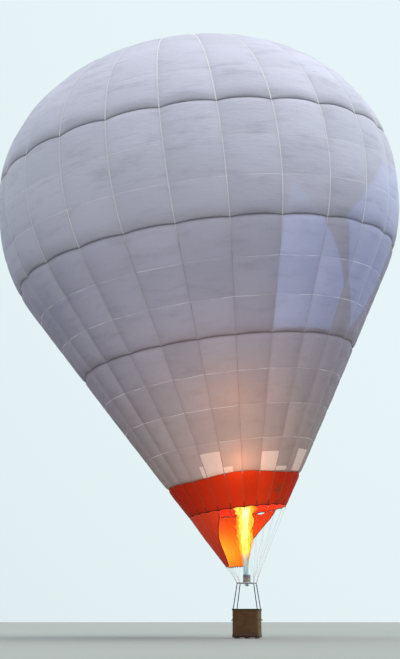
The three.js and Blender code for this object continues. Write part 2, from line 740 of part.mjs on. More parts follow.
// Rope handles: half loops that droop from the long sides
const HANDLE_DROOP = THREE.MathUtils.degToRad(50);
const HANDLE_CUT = 400;
function ropeHandle(sideX, y) {
  const steps = 8;
  const sides = 8;
  const face = BASKET_WIDTH / 2;
  const points = [];
  for (let i = -1; i <= steps + 1; i += 1) {
    const angle = (Math.PI * i) / steps;
    const reach = Math.sin(angle);
    const middle = new THREE.Vector3(
      sideX * (face + HANDLE_REACH * reach * Math.cos(HANDLE_DROOP)),
      y + HANDLE_REACH * Math.cos(angle),
      HANDLE_HEIGHT - HANDLE_REACH * reach * Math.sin(HANDLE_DROOP));
    const outward = new THREE.Vector3(
      sideX * reach * Math.cos(HANDLE_DROOP), Math.cos(angle), -reach * Math.sin(HANDLE_DROOP));
    const across = new THREE.Vector3(sideX * Math.sin(HANDLE_DROOP), 0, Math.cos(HANDLE_DROOP));
    for (let j = 0; j < sides; j += 1) {
      const turn = (2 * Math.PI * j) / sides;
      points.push(middle.clone().addScaledVector(outward, HANDLE_RADIUS * Math.cos(turn))
        .addScaledVector(across, HANDLE_RADIUS * Math.sin(turn)));
    }
  }
  const faces = loopFaces(steps + 3, sides, false);
  const last = points.length - sides;
  for (let j = 1; j < sides - 1; j += 1) {
    faces.push([0, j + 1, j]);
    faces.push([last, last + j, last + j + 1]);
  }
  const cutX = sideX * (face + GAP - HANDLE_CUT / 2);
  const wallSide = box(HANDLE_CUT, HANDLE_CUT, HANDLE_CUT, cutX, y, HANDLE_HEIGHT);
  return combine([closedBody(points, faces)], [wallSide]);
}
for (const { name, sideX, sideY } of layouts) {
  addPiece(basket, `rope_handle_${name}`, ropeHandle(sideX, sideY * HANDLE_Y), ROPE, 0.9);
}

// Gas cylinder, standing on the floor: foot ring, body with domed ends, collar and valve
const floorTop = wallBottom + FLOOR;
const CYLINDER_FOOT_RADIUS = 120;
const CYLINDER_FOOT = 40;
const CYLINDER_DOME = 70;
const CYLINDER_BODY = 670;
const DOME_FLAT_RADIUS = 60;
const COLLAR_RADIUS = 45;
const COLLAR = 30;
const VALVE_RADIUS = 22;
function gasCylinder() {
  const outline = [
    [0, 0],
    [CYLINDER_FOOT_RADIUS, 0],
    [CYLINDER_FOOT_RADIUS, CYLINDER_FOOT],
    [CYLINDER_RADIUS, CYLINDER_DOME],
  ];
  const arcSteps = 3;
  const arcRadius = CYLINDER_RADIUS - DOME_FLAT_RADIUS;
  for (let i = 0; i <= arcSteps; i += 1) {
    const angle = (Math.PI / 2) * (i / arcSteps);
    const rise = CYLINDER_BODY - CYLINDER_DOME + CYLINDER_DOME * Math.sin(angle);
    outline.push([DOME_FLAT_RADIUS + arcRadius * Math.cos(angle), rise]);
  }
  outline.push(
    [COLLAR_RADIUS, CYLINDER_BODY],
    [COLLAR_RADIUS, CYLINDER_BODY + COLLAR],
    [VALVE_RADIUS, CYLINDER_BODY + COLLAR],
    [VALVE_RADIUS, CYLINDER_HEIGHT],
    [0, CYLINDER_HEIGHT],
  );
  return lathe(outline, 20);
}
for (const { name, sideX, sideY } of layouts) {
  const cylinder = gasCylinder().translate(sideX * CYLINDER_X, sideY * CYLINDER_Y, floorTop + GAP);
  addPiece(basket, `gas_cylinder_${name}`, cylinder, ALUMINIUM, 0.4, 0.7);
}

export default balloon;
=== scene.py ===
# %% [markdown]
# # A hot air balloon, piece by piece
# This lesson dresses a balloon whose joints and solids were made first in CAD. The CAD model is loaded as
# a fixed frame, and each cell then adds one piece or one finish around it. Lengths are in metres and +Z is
# up. The origin is the centre of the hot air, and the envelope leans to -X over an upright basket.

# %% Load the frame
import json
import random
from math import asin, cos, degrees, exp, pi, radians, sin, sqrt, tan

import bmesh
import bpy
import numpy as np
from mathutils import Matrix, Vector
from mathutils.noise import fractal

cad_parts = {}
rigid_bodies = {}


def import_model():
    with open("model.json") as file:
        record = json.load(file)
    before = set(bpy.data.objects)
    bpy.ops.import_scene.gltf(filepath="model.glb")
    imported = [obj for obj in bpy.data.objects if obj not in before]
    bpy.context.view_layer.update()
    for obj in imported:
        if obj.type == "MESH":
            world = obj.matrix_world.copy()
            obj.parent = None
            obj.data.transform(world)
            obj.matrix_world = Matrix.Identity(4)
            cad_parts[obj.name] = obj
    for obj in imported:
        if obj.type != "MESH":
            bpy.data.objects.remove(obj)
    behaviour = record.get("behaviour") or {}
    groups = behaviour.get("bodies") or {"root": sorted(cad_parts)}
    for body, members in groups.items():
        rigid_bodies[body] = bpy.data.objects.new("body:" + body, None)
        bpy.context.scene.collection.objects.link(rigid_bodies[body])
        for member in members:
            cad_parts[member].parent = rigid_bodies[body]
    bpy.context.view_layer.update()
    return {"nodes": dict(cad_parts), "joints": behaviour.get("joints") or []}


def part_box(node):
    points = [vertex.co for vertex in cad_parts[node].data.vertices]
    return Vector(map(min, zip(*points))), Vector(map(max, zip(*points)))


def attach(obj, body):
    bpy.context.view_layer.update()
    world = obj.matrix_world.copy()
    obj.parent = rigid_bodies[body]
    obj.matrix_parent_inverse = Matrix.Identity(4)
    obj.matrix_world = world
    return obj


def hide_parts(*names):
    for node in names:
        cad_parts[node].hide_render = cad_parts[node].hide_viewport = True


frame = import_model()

# %% [markdown]
# ## Where things are
# Every place in this lesson comes from the frame, so a piece can't drift away from its solid. The vent
# slides along the envelope's axis, and the burner's gimbal turns about the middle of the burner frame.
# Those two joints give the lean of the envelope and the place of the basket.

# %% Two frames of reference: the leaning envelope and the upright basket
joints = {joint["name"]: joint for joint in frame["joints"]}
vent_axis = Vector(joints["parachute_slide"]["axis"])
LEAN = asin(vent_axis.x)
PIVOT = Vector(joints["gimbal_tilt"]["pos_m"])
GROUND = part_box("runner_middle")[0].z
MOUTH_Z = -11.1

to_world = Matrix.Rotation(-LEAN, 4, "Y")
from_basket = Matrix.Translation((PIVOT.x, PIVOT.y, GROUND))
FRAME_UP = PIVOT.z - GROUND
print("lean", round(degrees(LEAN), 2), "burner frame", round(FRAME_UP, 3), "m above the ground")

# %% [markdown]
# ## The camera comes first
# The picture was taken from about fifty metres away with the camera close to the ground and tipped up. The
# same place and tilt here make the gores foreshorten in the same way. A camera looks down its own -Z, so
# it is first tipped up from straight down and then turned to face the balloon.

# %% Camera at the viewing angle of the picture
CAMERA_PLACE = (8.48, -54.205, -15.096)
CAMERA_TIP = 11.682
CAMERA_TURN = 9.0
FOCAL_LENGTH = 76.75

lens = bpy.data.cameras.new("camera")
lens.sensor_width = 36.0
lens.lens = FOCAL_LENGTH
lens.clip_end = 500.0
camera = bpy.data.objects.new("camera", lens)
camera.location = CAMERA_PLACE
camera.rotation_euler = (radians(90 + CAMERA_TIP), 0, radians(CAMERA_TURN))
bpy.context.scene.collection.objects.link(camera)
bpy.context.scene.camera = camera
print("camera", round((camera.location - PIVOT).length, 1), "m from the burner")

# %% [markdown]
# ## Shader sums written as Python
# A node tree is a sum drawn with boxes. It is shorter to write the sum as Python and let a small class add
# the boxes. `Thread` holds one output socket. Adding, taking away, multiplying or dividing threads adds a
# Math node, and the reflected forms let a plain number stand on the left, as in `1 - mask`. `Thread.node`
# adds any other node: its settings first, then what its sockets are fed.

# %% Thread, a socket that does arithmetic
class Thread:
    def __init__(self, tree, socket):
        self.tree = tree
        self.socket = socket

    @staticmethod
    def node(tree, kind, settings=None, feeds=None, out=0):
        made = tree.nodes.new(kind)
        for name, value in (settings or {}).items():
            if name == "stops":
                ramp = made.color_ramp.elements
                while len(ramp) < len(value):
                    ramp.new(1.0)
                for stop, (place, colour) in zip(ramp, value):
                    stop.position = place
                    stop.color = (*colour, 1.0)
            else:
                setattr(made, name, value)
        for key, value in (feeds or {}).items():
            named = {socket.identifier: socket for socket in made.inputs}
            socket = named[key] if key in named else made.inputs[key]
            if isinstance(value, Thread):
                tree.links.new(value.socket, socket)
            else:
                socket.default_value = value
        if out is None:
            return made
        results = {socket.identifier: socket for socket in made.outputs}
        return Thread(tree, results[out] if out in results else made.outputs[out])

    def maths(self, operation, *terms):
        feeds = dict(zip(("Value", "Value_001", "Value_002"), terms))
        return Thread.node(self.tree, "ShaderNodeMath", {"operation": operation}, feeds)

    def between_terms(operation, swapped=False):
        """A Python operator that adds one Math node; the reflected form swaps its terms."""
        if swapped:
            return lambda self, other: self.maths(operation, other, self)
        return lambda self, other: self.maths(operation, self, other)

    __add__ = __radd__ = between_terms("ADD")
    __mul__ = __rmul__ = between_terms("MULTIPLY")
    __sub__ = between_terms("SUBTRACT")
    __rsub__ = between_terms("SUBTRACT", swapped=True)
    __truediv__ = between_terms("DIVIDE")
    __rtruediv__ = between_terms("DIVIDE", swapped=True)
    __pow__ = between_terms("POWER")
    __gt__ = between_terms("GREATER_THAN")
    __lt__ = between_terms("LESS_THAN")


print("a thread adds Math nodes for + - * / ** < >")

# %% [markdown]
# ## A few shorthands for finishes
# Every finish starts from the same Principled shader. Numbers that are the same all over are set on its
# own sockets. Colour, roughness, glow, alpha and bump vary over a surface, and each of them is a thread.

# %% Shorthands used by every finish
def new_finish(name, **constants):
    finish = bpy.data.materials.new(name)
    finish.use_nodes = True
    shader = finish.node_tree.nodes["Principled BSDF"]
    for socket, value in constants.items():
        shader.inputs[socket.replace("_", " ")].default_value = value
    return finish, finish.node_tree, shader


def plug(tree, shader, **threads):
    for socket, thread in threads.items():
        tree.links.new(thread.socket, shader.inputs[socket.replace("_", " ")])


def place_in(tree):
    return Thread.node(tree, "ShaderNodeTexCoord", out="Object")


def field(tree, name, out="Vector"):
    return Thread.node(tree, "ShaderNodeAttribute", {"attribute_name": name}, out=out)


def split(vector):
    made = Thread.node(vector.tree, "ShaderNodeSeparateXYZ", None, {"Vector": vector}, None)
    return [Thread(vector.tree, made.outputs[i]) for i in range(3)]


def combined(tree, *parts):
    return Thread.node(tree, "ShaderNodeCombineXYZ", None, dict(enumerate(parts)))


def scaled(vector, by):
    return Thread.node(vector.tree, "ShaderNodeVectorMath", {"operation": "MULTIPLY"}, {0: vector, 1: by})


def measured(vector, other, how):
    """One number from two vectors, such as their DISTANCE or their DOT_PRODUCT."""
    feeds = {0: vector, 1: other}
    return Thread.node(vector.tree, "ShaderNodeVectorMath", {"operation": how}, feeds, "Value")


def ramp(factor, stops):
    return Thread.node(factor.tree, "ShaderNodeValToRGB", {"stops": stops}, {"Fac": factor}, "Color")


def noise(vector, scale, detail=3.0, rough=0.55):
    feeds = {"Vector": vector, "Scale": scale, "Detail": detail, "Roughness": rough}
    return Thread.node(vector.tree, "ShaderNodeTexNoise", None, feeds, "Fac")


def blended(tree, factor, first, second, how="MIX"):
    settings = {"data_type": "RGBA", "blend_type": how}
    feeds = {"Factor_Float": factor}
    for key, colour in (("A_Color", first), ("B_Color", second)):
        feeds[key] = colour if isinstance(colour, Thread) else (*colour, 1.0)
    return Thread.node(tree, "ShaderNodeMix", settings, feeds, "Result_Color")


def eased(thread, low, high):
    feeds = {"Value": thread, "From Min": low, "From Max": high}
    return Thread.node(thread.tree, "ShaderNodeMapRange", {"interpolation_type": "SMOOTHSTEP"}, feeds)


def bump(height, depth, strength=1.0, under=None):
    feeds = {"Height": height, "Distance": depth, "Strength": strength}
    if under is not None:
        feeds["Normal"] = under
    return Thread.node(height.tree, "ShaderNodeBump", None, feeds, "Normal")


print("shorthands ready")

# %% [markdown]
# ## Geometry Nodes from a script
# Geometry Nodes suit what repeats or follows a path. A tree is a recipe with named inputs. Here a recipe
# is drawn once, laid on a mesh as a modifier, and cooked: the evaluated result becomes a plain mesh and
# the modifier goes away, so that the piece can be exported and moved with its body like any other.

# %% Recipes: draw, serve and cook
scene_objects = bpy.context.scene.collection.objects


def new_piece(name, points, edges=(), faces=()):
    mesh = bpy.data.meshes.new(name)
    mesh.from_pydata([tuple(p) for p in points], list(edges), list(faces))
    piece = bpy.data.objects.new(name, mesh)
    scene_objects.link(piece)
    return piece


def piece_from(shape, name, finish=None):
    """Make a piece of an edited shape, and let the shape go."""
    piece = new_piece(name, [])
    shape.to_mesh(piece.data)
    shape.free()
    if finish is not None:
        piece.data.materials.append(finish)
    return piece


def full_turn(count):
    """Evenly spaced angles that go once round."""
    return np.linspace(0, 2 * pi, count, endpoint=False)


def tube_faces(high, wide, hoop=False):
    """Faces between rows of points that close round; in a hoop the last row also meets the first."""
    faces = []
    for i in range(high if hoop else high - 1):
        row, above = i * wide, (i + 1) % high * wide
        faces += [(row + j, row + (j + 1) % wide, above + (j + 1) % wide, above + j) for j in range(wide)]
    return faces


def put_field(piece, name, values, domain="POINT"):
    """Write one, two or three numbers for each point or face corner."""
    values = np.asarray(values, np.float32)
    wide = values.size // len(piece.data.vertices if domain == "POINT" else piece.data.loops)
    layer = piece.data.attributes.new(name, ("FLOAT", "FLOAT2", "FLOAT_VECTOR")[wide - 1], domain)
    layer.data.foreach_set("vector" if wide > 1 else "value", values.ravel())


def new_recipe(name, **inputs):
    tree = bpy.data.node_groups.new(name, "GeometryNodeTree")
    tree.interface.new_socket("Geometry", in_out="INPUT", socket_type="NodeSocketGeometry")
    for label, value in inputs.items():
        kind = {float: "Float", int: "Int", bool: "Bool"}.get(type(value), value)
        socket = tree.interface.new_socket(label, in_out="INPUT", socket_type=f"NodeSocket{kind}")
        if kind is not value:
            socket.default_value = value
    tree.interface.new_socket("Geometry", in_out="OUTPUT", socket_type="NodeSocketGeometry")
    entry = tree.nodes.new("NodeGroupInput")
    return tree, {socket.name: Thread(tree, socket) for socket in entry.outputs if socket.name}


def serve(tree, shape, finish):
    whole = Thread.node(tree, "GeometryNodeRealizeInstances", None, {"Geometry": shape})
    painted = Thread.node(tree, "GeometryNodeSetMaterial", None, {"Geometry": whole, "Material": finish})
    leave = tree.nodes.new("NodeGroupOutput")
    tree.links.new(painted.socket, leave.inputs[0])


def plain_mesh(piece):
    evaluated = piece.evaluated_get(bpy.context.evaluated_depsgraph_get())
    mesh = bpy.data.meshes.new_from_object(evaluated)
    piece.modifiers.clear()
    piece.data = mesh
    return piece


def cook(piece, tree, **values):
    modifier = piece.modifiers.new("recipe", "NODES")
    modifier.node_group = tree
    for item in tree.interface.items_tree:
        if item.in_out == "INPUT" and item.name in values:
            modifier[item.identifier] = values[item.name]
    return plain_mesh(piece)


def attribute(tree, name, kind="FLOAT"):
    return Thread.node(
        tree, "GeometryNodeInputNamedAttribute", {"data_type": kind}, {"Name": name}, "Attribute")


def settle(piece, body, slot, *nodes, matrix=None, smooth=True):
    if matrix is not None:
        piece.data.transform(matrix)
    piece.data.shade_smooth() if smooth else piece.data.shade_flat()
    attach(piece, body)
    if nodes:
        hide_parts(*nodes)
    triangles = sum(len(p.vertices) - 2 for p in piece.data.polygons)
    print(f"  {piece.name}: {triangles} triangles on {body}")
    return piece


print("recipes ready")

# %% [markdown]
# ## The shape of the envelope
# A balloon's envelope is cut as 24 long gores, and each gore is sewn from short fabric panels. Its outline
# is a straight cone, a round shoulder and a dome that flattens towards the crown. Every sewn seam is found
# by its length along that outline, because that is how cloth is cut.

# %% Outline of the envelope and the heights of its seams
GORES = 24
MOUTH_RADIUS = 1.8785
CONE = radians(30.26)
CONE_TOP = 8.917
SHOULDER = 6.711
DOME = 6.555
DOME_POWER = 2.185
RING_HEIGHTS = {"d": 1.187, "c": 5.831, "b": 9.595, "a": 13.804}
VENT_EDGE = 2.6
VENT_OPENING = 2.35

widest = MOUTH_RADIUS + CONE_TOP * tan(CONE) + SHOULDER * (1 - cos(CONE))
equator = CONE_TOP + SHOULDER * sin(CONE)
cone_line = [(MOUTH_RADIUS + h * tan(CONE), h) for h in np.linspace(0, CONE_TOP, 60)]
shoulder_line = [
    (widest - SHOULDER + SHOULDER * cos(a), equator - SHOULDER * sin(a))
    for a in np.linspace(CONE, 0, 40)[1:]
]
dome_line = [
    (widest * cos(t) ** (2 / DOME_POWER), equator + DOME * sin(t) ** (2 / DOME_POWER))
    for t in np.linspace(0, pi / 2, 500)[1:-1]
]
outline = np.array(cone_line + shoulder_line + dome_line + [(0.0, equator + DOME)])
steps = np.diff(outline, axis=0)
arc = np.concatenate([[0], np.cumsum(np.hypot(steps[:, 0], steps[:, 1]))])
outline_tangent = np.gradient(outline, arc, axis=0)
outline_tangent /= np.linalg.norm(outline_tangent, axis=1)[:, None]
ring_arcs = {name: float(np.interp(h, outline[:, 1], arc)) for name, h in RING_HEIGHTS.items()}


def arc_at_radius(radius):
    return float(np.interp(-radius, -outline[200:, 0], arc[200:]))


vent_arc = arc_at_radius(VENT_EDGE)
opening_arc = arc_at_radius(VENT_OPENING)
print("widest", round(widest, 3), "cloth from mouth to vent", round(vent_arc, 2), "m")

# %% [markdown]
# ## Panels
# Between two of the strong horizontal tapes there are three to five panels, each as tall as a roll of
# cloth is wide. A net of points is laid over them, closer together near the seams, where the cloth
# creases. Each point keeps its distances to the nearest upright tape, seam and horizontal tape, so that
# both the shape and the finish can use them.

# %% Lay the net of one band of panels
COLUMNS = 12
PANEL_ROWS = 12
BULGE = 0.095
panel_edges = {
    "mouth_band": [0.0, ring_arcs["d"]],
    "envelope_lower": np.linspace(ring_arcs["d"], ring_arcs["c"], 5),
    "envelope_middle": np.linspace(ring_arcs["c"], ring_arcs["b"], 4),
    "envelope_upper": np.linspace(ring_arcs["b"], ring_arcs["a"], 4),
    "envelope_crown": np.linspace(ring_arcs["a"], opening_arc, 6),
}
all_rings = np.array([*ring_arcs.values()])
SCALLOPS = {"a": 0.085, "b": 0.055, "c": 0.035}


def closer_at_ends(count):
    even = np.linspace(0, 1, count + 1)[:-1]
    return even - 0.09 * np.sin(2 * np.pi * even)


def waver(azimuth):
    return 0.045 * np.sin(3 * azimuth + 1.1) + 0.03 * np.sin(5 * azimuth + 0.4)


def outline_at(along, azimuth, bell):
    """Radius, height and outward direction of the cloth, with its wavering edge and its scallops."""
    shift = waver(azimuth) * np.exp(-((along - ring_arcs["d"]) / 0.45) ** 2)
    lift = 0.04 * bell * np.exp(-along / 0.35)
    for ring, rise in SCALLOPS.items():
        lift = lift + rise * bell * np.exp(-((along - ring_arcs[ring]) / 0.5) ** 2)
    at = along + shift + lift
    radius = np.interp(at, arc, outline[:, 0])
    height = np.interp(at, arc, outline[:, 1])
    run = np.interp(at, arc, outline_tangent[:, 0])
    rise = np.interp(at, arc, outline_tangent[:, 1])
    return radius, height, rise, -run


def lay_net(name, edges, rows=PANEL_ROWS, inset=0.0):
    along = [low + (high - low) * t for low, high in zip(edges, edges[1:]) for t in closer_at_ends(rows)]
    along = np.array([*along, edges[-1]])
    across = closer_at_ends(COLUMNS)
    gore, share = np.divmod(np.arange(GORES * COLUMNS), COLUMNS)
    share = across[share]
    azimuth = 2 * np.pi * (gore + share) / GORES
    bell = 1 - np.abs(2 * share - 1) ** 2.2
    along, azimuth = np.meshgrid(along, azimuth, indexing="ij")
    bell = np.broadcast_to(bell, along.shape)
    radius, height, out_r, out_z = outline_at(along, azimuth, bell)
    radius = radius - inset * out_r
    height = height - inset * out_z
    points = np.stack([radius * np.sin(azimuth), -radius * np.cos(azimuth), height + MOUTH_Z], -1)
    outward = np.stack([out_r * np.sin(azimuth), -out_r * np.cos(azimuth), out_z], -1)
    tape = np.minimum(share, 1 - share) * radius * 2 * np.pi / GORES
    seam = np.abs(along[..., None] - np.array(edges)).min(-1)
    ring = np.abs(along[..., None] - all_rings).min(-1)
    wide = GORES * COLUMNS
    high = len(along)
    panels = [
        (j // COLUMNS + 0.5, i // rows + 0.5)
        for i in range(high - 1) for j in range(wide) for corner in range(4)]
    piece = new_piece(name, points.reshape(-1, 3), faces=tube_faces(high, wide))
    full = np.sin(np.pi * np.clip(height / np.interp(vent_arc, arc, outline[:, 1]), 0, 1)) ** 0.6
    put_field(piece, "outward", outward)
    put_field(piece, "cloth", np.stack([tape, seam, ring], -1))
    put_field(piece, "bell", bell)
    put_field(piece, "full", full)
    put_field(piece, "lie", np.stack([tape, along, azimuth * 2], -1))
    put_field(piece, "panel", panels, "CORNER")
    return piece, (high, wide)


print("net of", GORES * COLUMNS, "columns")

# %% [markdown]
# ## Swelling
# Hot air presses each gore out between its upright tapes, and the horizontal tapes hold the cloth in, so
# it creases there and puckers beside the tapes. This is a rule over the whole surface, so a Geometry Nodes
# recipe does it: it moves each point along its own outward direction.

# %% Recipe for swollen, puckered gores
tree, given = new_recipe(
    "swollen gores", Bulge=BULGE, Crease=0.065, Seam=0.01, Wrinkle=0.038, Finish="Material")
cloth = attribute(tree, "cloth", "FLOAT_VECTOR")
to_tape, to_seam, to_ring = split(cloth)
bell = attribute(tree, "bell")
swell = given["Bulge"] * attribute(tree, "full") * bell
crease = given["Crease"] * (bell * 0.75 + 0.25) * 0.018 / (to_ring * to_ring * 6.0 + 0.018)
seam = given["Seam"] * bell * 0.001 / (to_seam * to_seam + 0.001)
lie = attribute(tree, "lie", "FLOAT_VECTOR")
folds = noise(scaled(lie, (0.5, 2.6, 3.1)), 1.0, 3.0, 0.5) - 0.5
puckers = noise(scaled(lie, (1.1, 6.5, 7.7)), 1.0, 2.0, 0.5) - 0.5
clear_of_tape = to_tape / (to_tape + 0.06)
clear_of_ring = to_ring / (to_ring + 0.05)
near_tape = 0.09 / (to_tape * to_tape * 4.0 + 0.09)
wrinkle = given["Wrinkle"] * (folds + puckers * near_tape * 0.8) * clear_of_tape * clear_of_ring
offset = Thread.node(
    tree, "ShaderNodeVectorMath", {"operation": "SCALE"},
    {0: attribute(tree, "outward", "FLOAT_VECTOR"), "Scale": swell - crease - seam + wrinkle})
moved = Thread.node(
    tree, "GeometryNodeSetPosition", None, {"Geometry": given["Geometry"], "Offset": offset})
serve(tree, moved, given["Finish"])
swollen_gores = tree
print("nodes in the recipe:", len(tree.nodes))

# %% [markdown]
# ## Firelight and sky light through the cloth
# With the burner lit, the flame glows through the thin cloth around the mouth. Real light through real
# cloth would be slow to render and would be lost in an exported model, so the glow is worked out instead.
# It falls off with the distance from three places in and above the flame, and it goes in as the cloth's
# own emission. At the right only one wall of cloth stands before the sky, so bluish light comes through
# whole panels there. Those areas are bounded by sums of the gore number and the length along the cloth.

# %% Glow that falls off from the flame
FLAME_LOW = (PIVOT.x + 0.1, -0.9, PIVOT.z + 3.1)
FLAME_HIGH = (PIVOT.x + 0.08, -2.35, PIVOT.z + 4.6)
FLAME_GLOW = (PIVOT.x + 0.0, -3.5, PIVOT.z + 6.8)


def firelight(place, core):
    low, high, over = [measured(place, spot, "DISTANCE") for spot in (FLAME_LOW, FLAME_HIGH, FLAME_GLOW)]
    near = core / (low * low + core) * 0.6 + core * 0.36 / (high * high + core * 0.36) * 1.25
    return near + 1.2 / (over * over + 1.2) * 0.28


def between(value, low, high, soft=0.06):
    return eased(value - low, -soft, soft) * (1 - eased(value - high, -soft, soft))


def skylight(turn, along):
    """Where only one wall stands before the sky, so that blue light comes through it."""
    down = (ring_arcs["b"] - along) / (ring_arcs["b"] - ring_arcs["c"])
    up = (along - ring_arcs["b"]) / (ring_arcs["a"] - ring_arcs["b"])
    below = between(down, 0.01, 0.96, 0.02)
    edge = down * 1.95 + 2.88
    wide = below * between(turn, 2.0, edge.maths("MINIMUM", edge, 4.0), 0.05)
    thin = below * between(turn, down * 1.0 + down ** 3.0 * 0.8 + 3.5, 5.65 - down ** 3.0 * 0.9, 0.04)
    side = between(turn, up * 2.0 + 3.4, 5.75, 0.08) * between(up, 0.01, 0.62, 0.06)
    flap = between(turn, up * 0.5 + 2.05, 2.85 - up * 2.4, 0.04) * between(up, 0.01, 0.4, 0.02)
    return wide * 0.85 + thin * 0.85 + side * 0.8 + flap * 0.3


def height_over_mouth(place):
    axis = (-sin(LEAN), 0.0, cos(LEAN))
    return measured(place, axis, "DOT_PRODUCT") - MOUTH_Z


print("flame light at", [round(v, 2) for v in FLAME_LOW])

# %% [markdown]
# ## Coated ripstop cloth
# Balloon cloth is thin coated nylon with a grid of thicker threads that stops a tear. From far away it
# shows as panels that differ a little from roll to roll, with pale lines where two layers are sewn
# together and glints painted along them in places. Creases hold dirt and are painted darker as shade, as
# are bands above the rings and beside the upright tapes. The grey is painted lighter and bluer towards the
# crown and darker towards the mouth, as painted light and shade and partly as dirt. The red cloth by the
# mouth resists heat. All of it reads the panel numbers and distances that the net carries, so the pattern
# follows the sewing.

# %% Finish of the sewn panels
RIPSTOP = 210.0
SKY_BLUE = (0.035, 0.065, 0.15)
SMUDGE = (PIVOT.x + 1.45, -1.35, PIVOT.z + 3.05)
MENDED = [
    (23.0, 24.0, 1.2, 2.02), (0.0, 0.5, 1.2, 1.46), (22.78, 23.0, 1.2, 1.6),
    (2.0, 3.0, 1.2, 1.86), (3.0, 3.8, 1.2, 1.34), (4.33, 5.33, 1.2, 1.95),
]


def mended_patches(turn, height):
    mask = None
    for left, right, low, high in MENDED:
        patch = (turn > left) * (turn < right) * (height > low) * (height < high)
        mask = patch if mask is None else mask + patch
    return mask


def roll_of_cloth(tree):
    """A random number for each panel, since panels are cut from different rolls."""
    settings = {"noise_dimensions": "2D"}
    return Thread.node(tree, "ShaderNodeTexWhiteNoise", settings, {"Vector": field(tree, "panel")}, "Value")


def panel_cloth(name, colours, seam_colour, glow_colour, glow, daylight, mended=False, soot=False):
    finish, tree, shader = new_finish(name, Specular_IOR_Level=0.02 if soot else 0.06, Emission_Strength=glow)
    place = place_in(tree)
    to_tape, to_seam, to_ring = split(field(tree, "cloth"))
    lie = field(tree, "lie")
    along, turn = split(lie)[1:]
    height = height_over_mouth(place)
    roll = roll_of_cloth(tree)
    # Painted light and shade, partly dirt: the colour runs from dark near the mouth to light blue-grey at the
    # crown.
    colour = blended(tree, eased(height, 1.5, 8.5), colours[0], colours[1])
    colour = blended(tree, eased(height, 7.8, 13.2), colour, colours[2])
    tint = roll * 0.1 + noise(place, 0.35) * 0.16 + 0.84
    tint = tint * (1 - eased(height, 16.0, 18.8) * 0.16)
    colour = scaled(colour, combined(tree, tint, tint, tint))
    threads = noise(scaled(lie, (0.0, RIPSTOP, 0.0)), 1.0, 1.0)
    threads = threads * noise(scaled(lie, (RIPSTOP, 0.0, 0.0)), 1.0, 1.0)
    cloudy = noise(scaled(lie, (0.4, 2.8, 2.2)), 1.0, 4.0, 0.6)
    colour = blended(tree, eased(cloudy, 0.48, 0.76) * 0.4, colour, (0.60, 0.60, 0.62), "MULTIPLY")
    # Painted glints: the pale seam lines brighten in patches, on top of the pale double-layer seam.
    glint = eased(noise(place, 0.9, 2.0), 0.42, 0.6)
    seam_and_glint_line = (to_seam < 0.011) * (glint * 0.6 + 0.15)
    colour = blended(tree, seam_and_glint_line, colour, seam_colour)
    # Painted shade and dirt: the cloth darkens in the crease at each horizontal tape, and glows less there.
    crease_dirt_and_shade = 0.0012 / (to_ring * to_ring + 0.0012)
    colour = blended(tree, crease_dirt_and_shade * 0.5, colour, [c * 0.3 for c in colours[0]])
    # Painted shade: a band just above rings c, b and a darkens where the bulging cloth turns under.
    for ring in "cba":
        over = along - ring_arcs[ring]
        shaded = (over > 0.0) * (1 - eased(over, 0.02, 0.7)) * 0.3
        colour = blended(tree, shaded, colour, [c * 0.5 for c in colours[0]])
    # Painted shade: the cloth darkens in the grooves beside the upright tapes.
    tape_groove_shade = 0.005 / (to_tape * to_tape + 0.005)
    colour = blended(tree, tape_groove_shade * 0.1, colour, [c * 0.5 for c in colours[0]])
    light = firelight(place, 0.5)
    light = light * (roll * 0.2 + 0.9)
    sky = 0.0
    if mended:
        gore = turn * (GORES / (4 * pi))
        sky = skylight(gore, along)
        patch = mended_patches(gore, height)
        colour = blended(tree, patch * 0.85, colour, (0.80, 0.73, 0.74))
        light = light * (patch * 0.3 + 1.0) + patch * 0.04
    if soot:
        smudge = measured(place, SMUDGE, "DISTANCE")
        patchy = eased(noise(scaled(place, (1.0, 1.0, 2.2)), 2.6, 4.0), 0.42, 0.62)
        dark = (1 - eased(smudge, 0.15, 1.0)) * patchy
        mouth_dirt = (1 - eased(height, 0.0, 0.3)) * patchy * 0.35
        colour = blended(tree, dark * 0.8, colour, (0.15, 0.075, 0.025))
        colour = blended(tree, mouth_dirt, colour, (0.12, 0.03, 0.02))
        light = light * (1 - dark * 0.7)
    warm = (light * glow_colour[0], light * glow_colour[1], light * light * glow_colour[2])
    # Painted light: cloth that faces -Y, low and mid on the envelope, gets a daylight glow as emission.
    faces_front = split(Thread.node(tree, "ShaderNodeNewGeometry", out="Normal"))[1] * -1.0
    through = eased(faces_front, 0.3, 1.0) * (1 - eased(height, 8.5, 13.5)) * (1 - crease_dirt_and_shade * 0.5)
    through = through * (tint + roll * 0.1 - cloudy * 0.2)
    lit = combined(tree, *[warm[i] + sky * SKY_BLUE[i] + through * daylight[i] for i in range(3)])
    rough = cloudy * 0.25 + 0.42
    fine = bump(threads, 0.0006, 0.35)
    wavy = bump(noise(scaled(lie, (1.4, 9.0, 8.0)), 1.0, 4.0, 0.6), 0.03, 0.6, fine)
    stitched = bump(0.0001 / (to_seam * to_seam + 0.0001), 0.006, 0.8, wavy)
    plug(tree, shader, Base_Color=colour, Roughness=rough, Emission_Color=lit, Normal=stitched)
    return finish


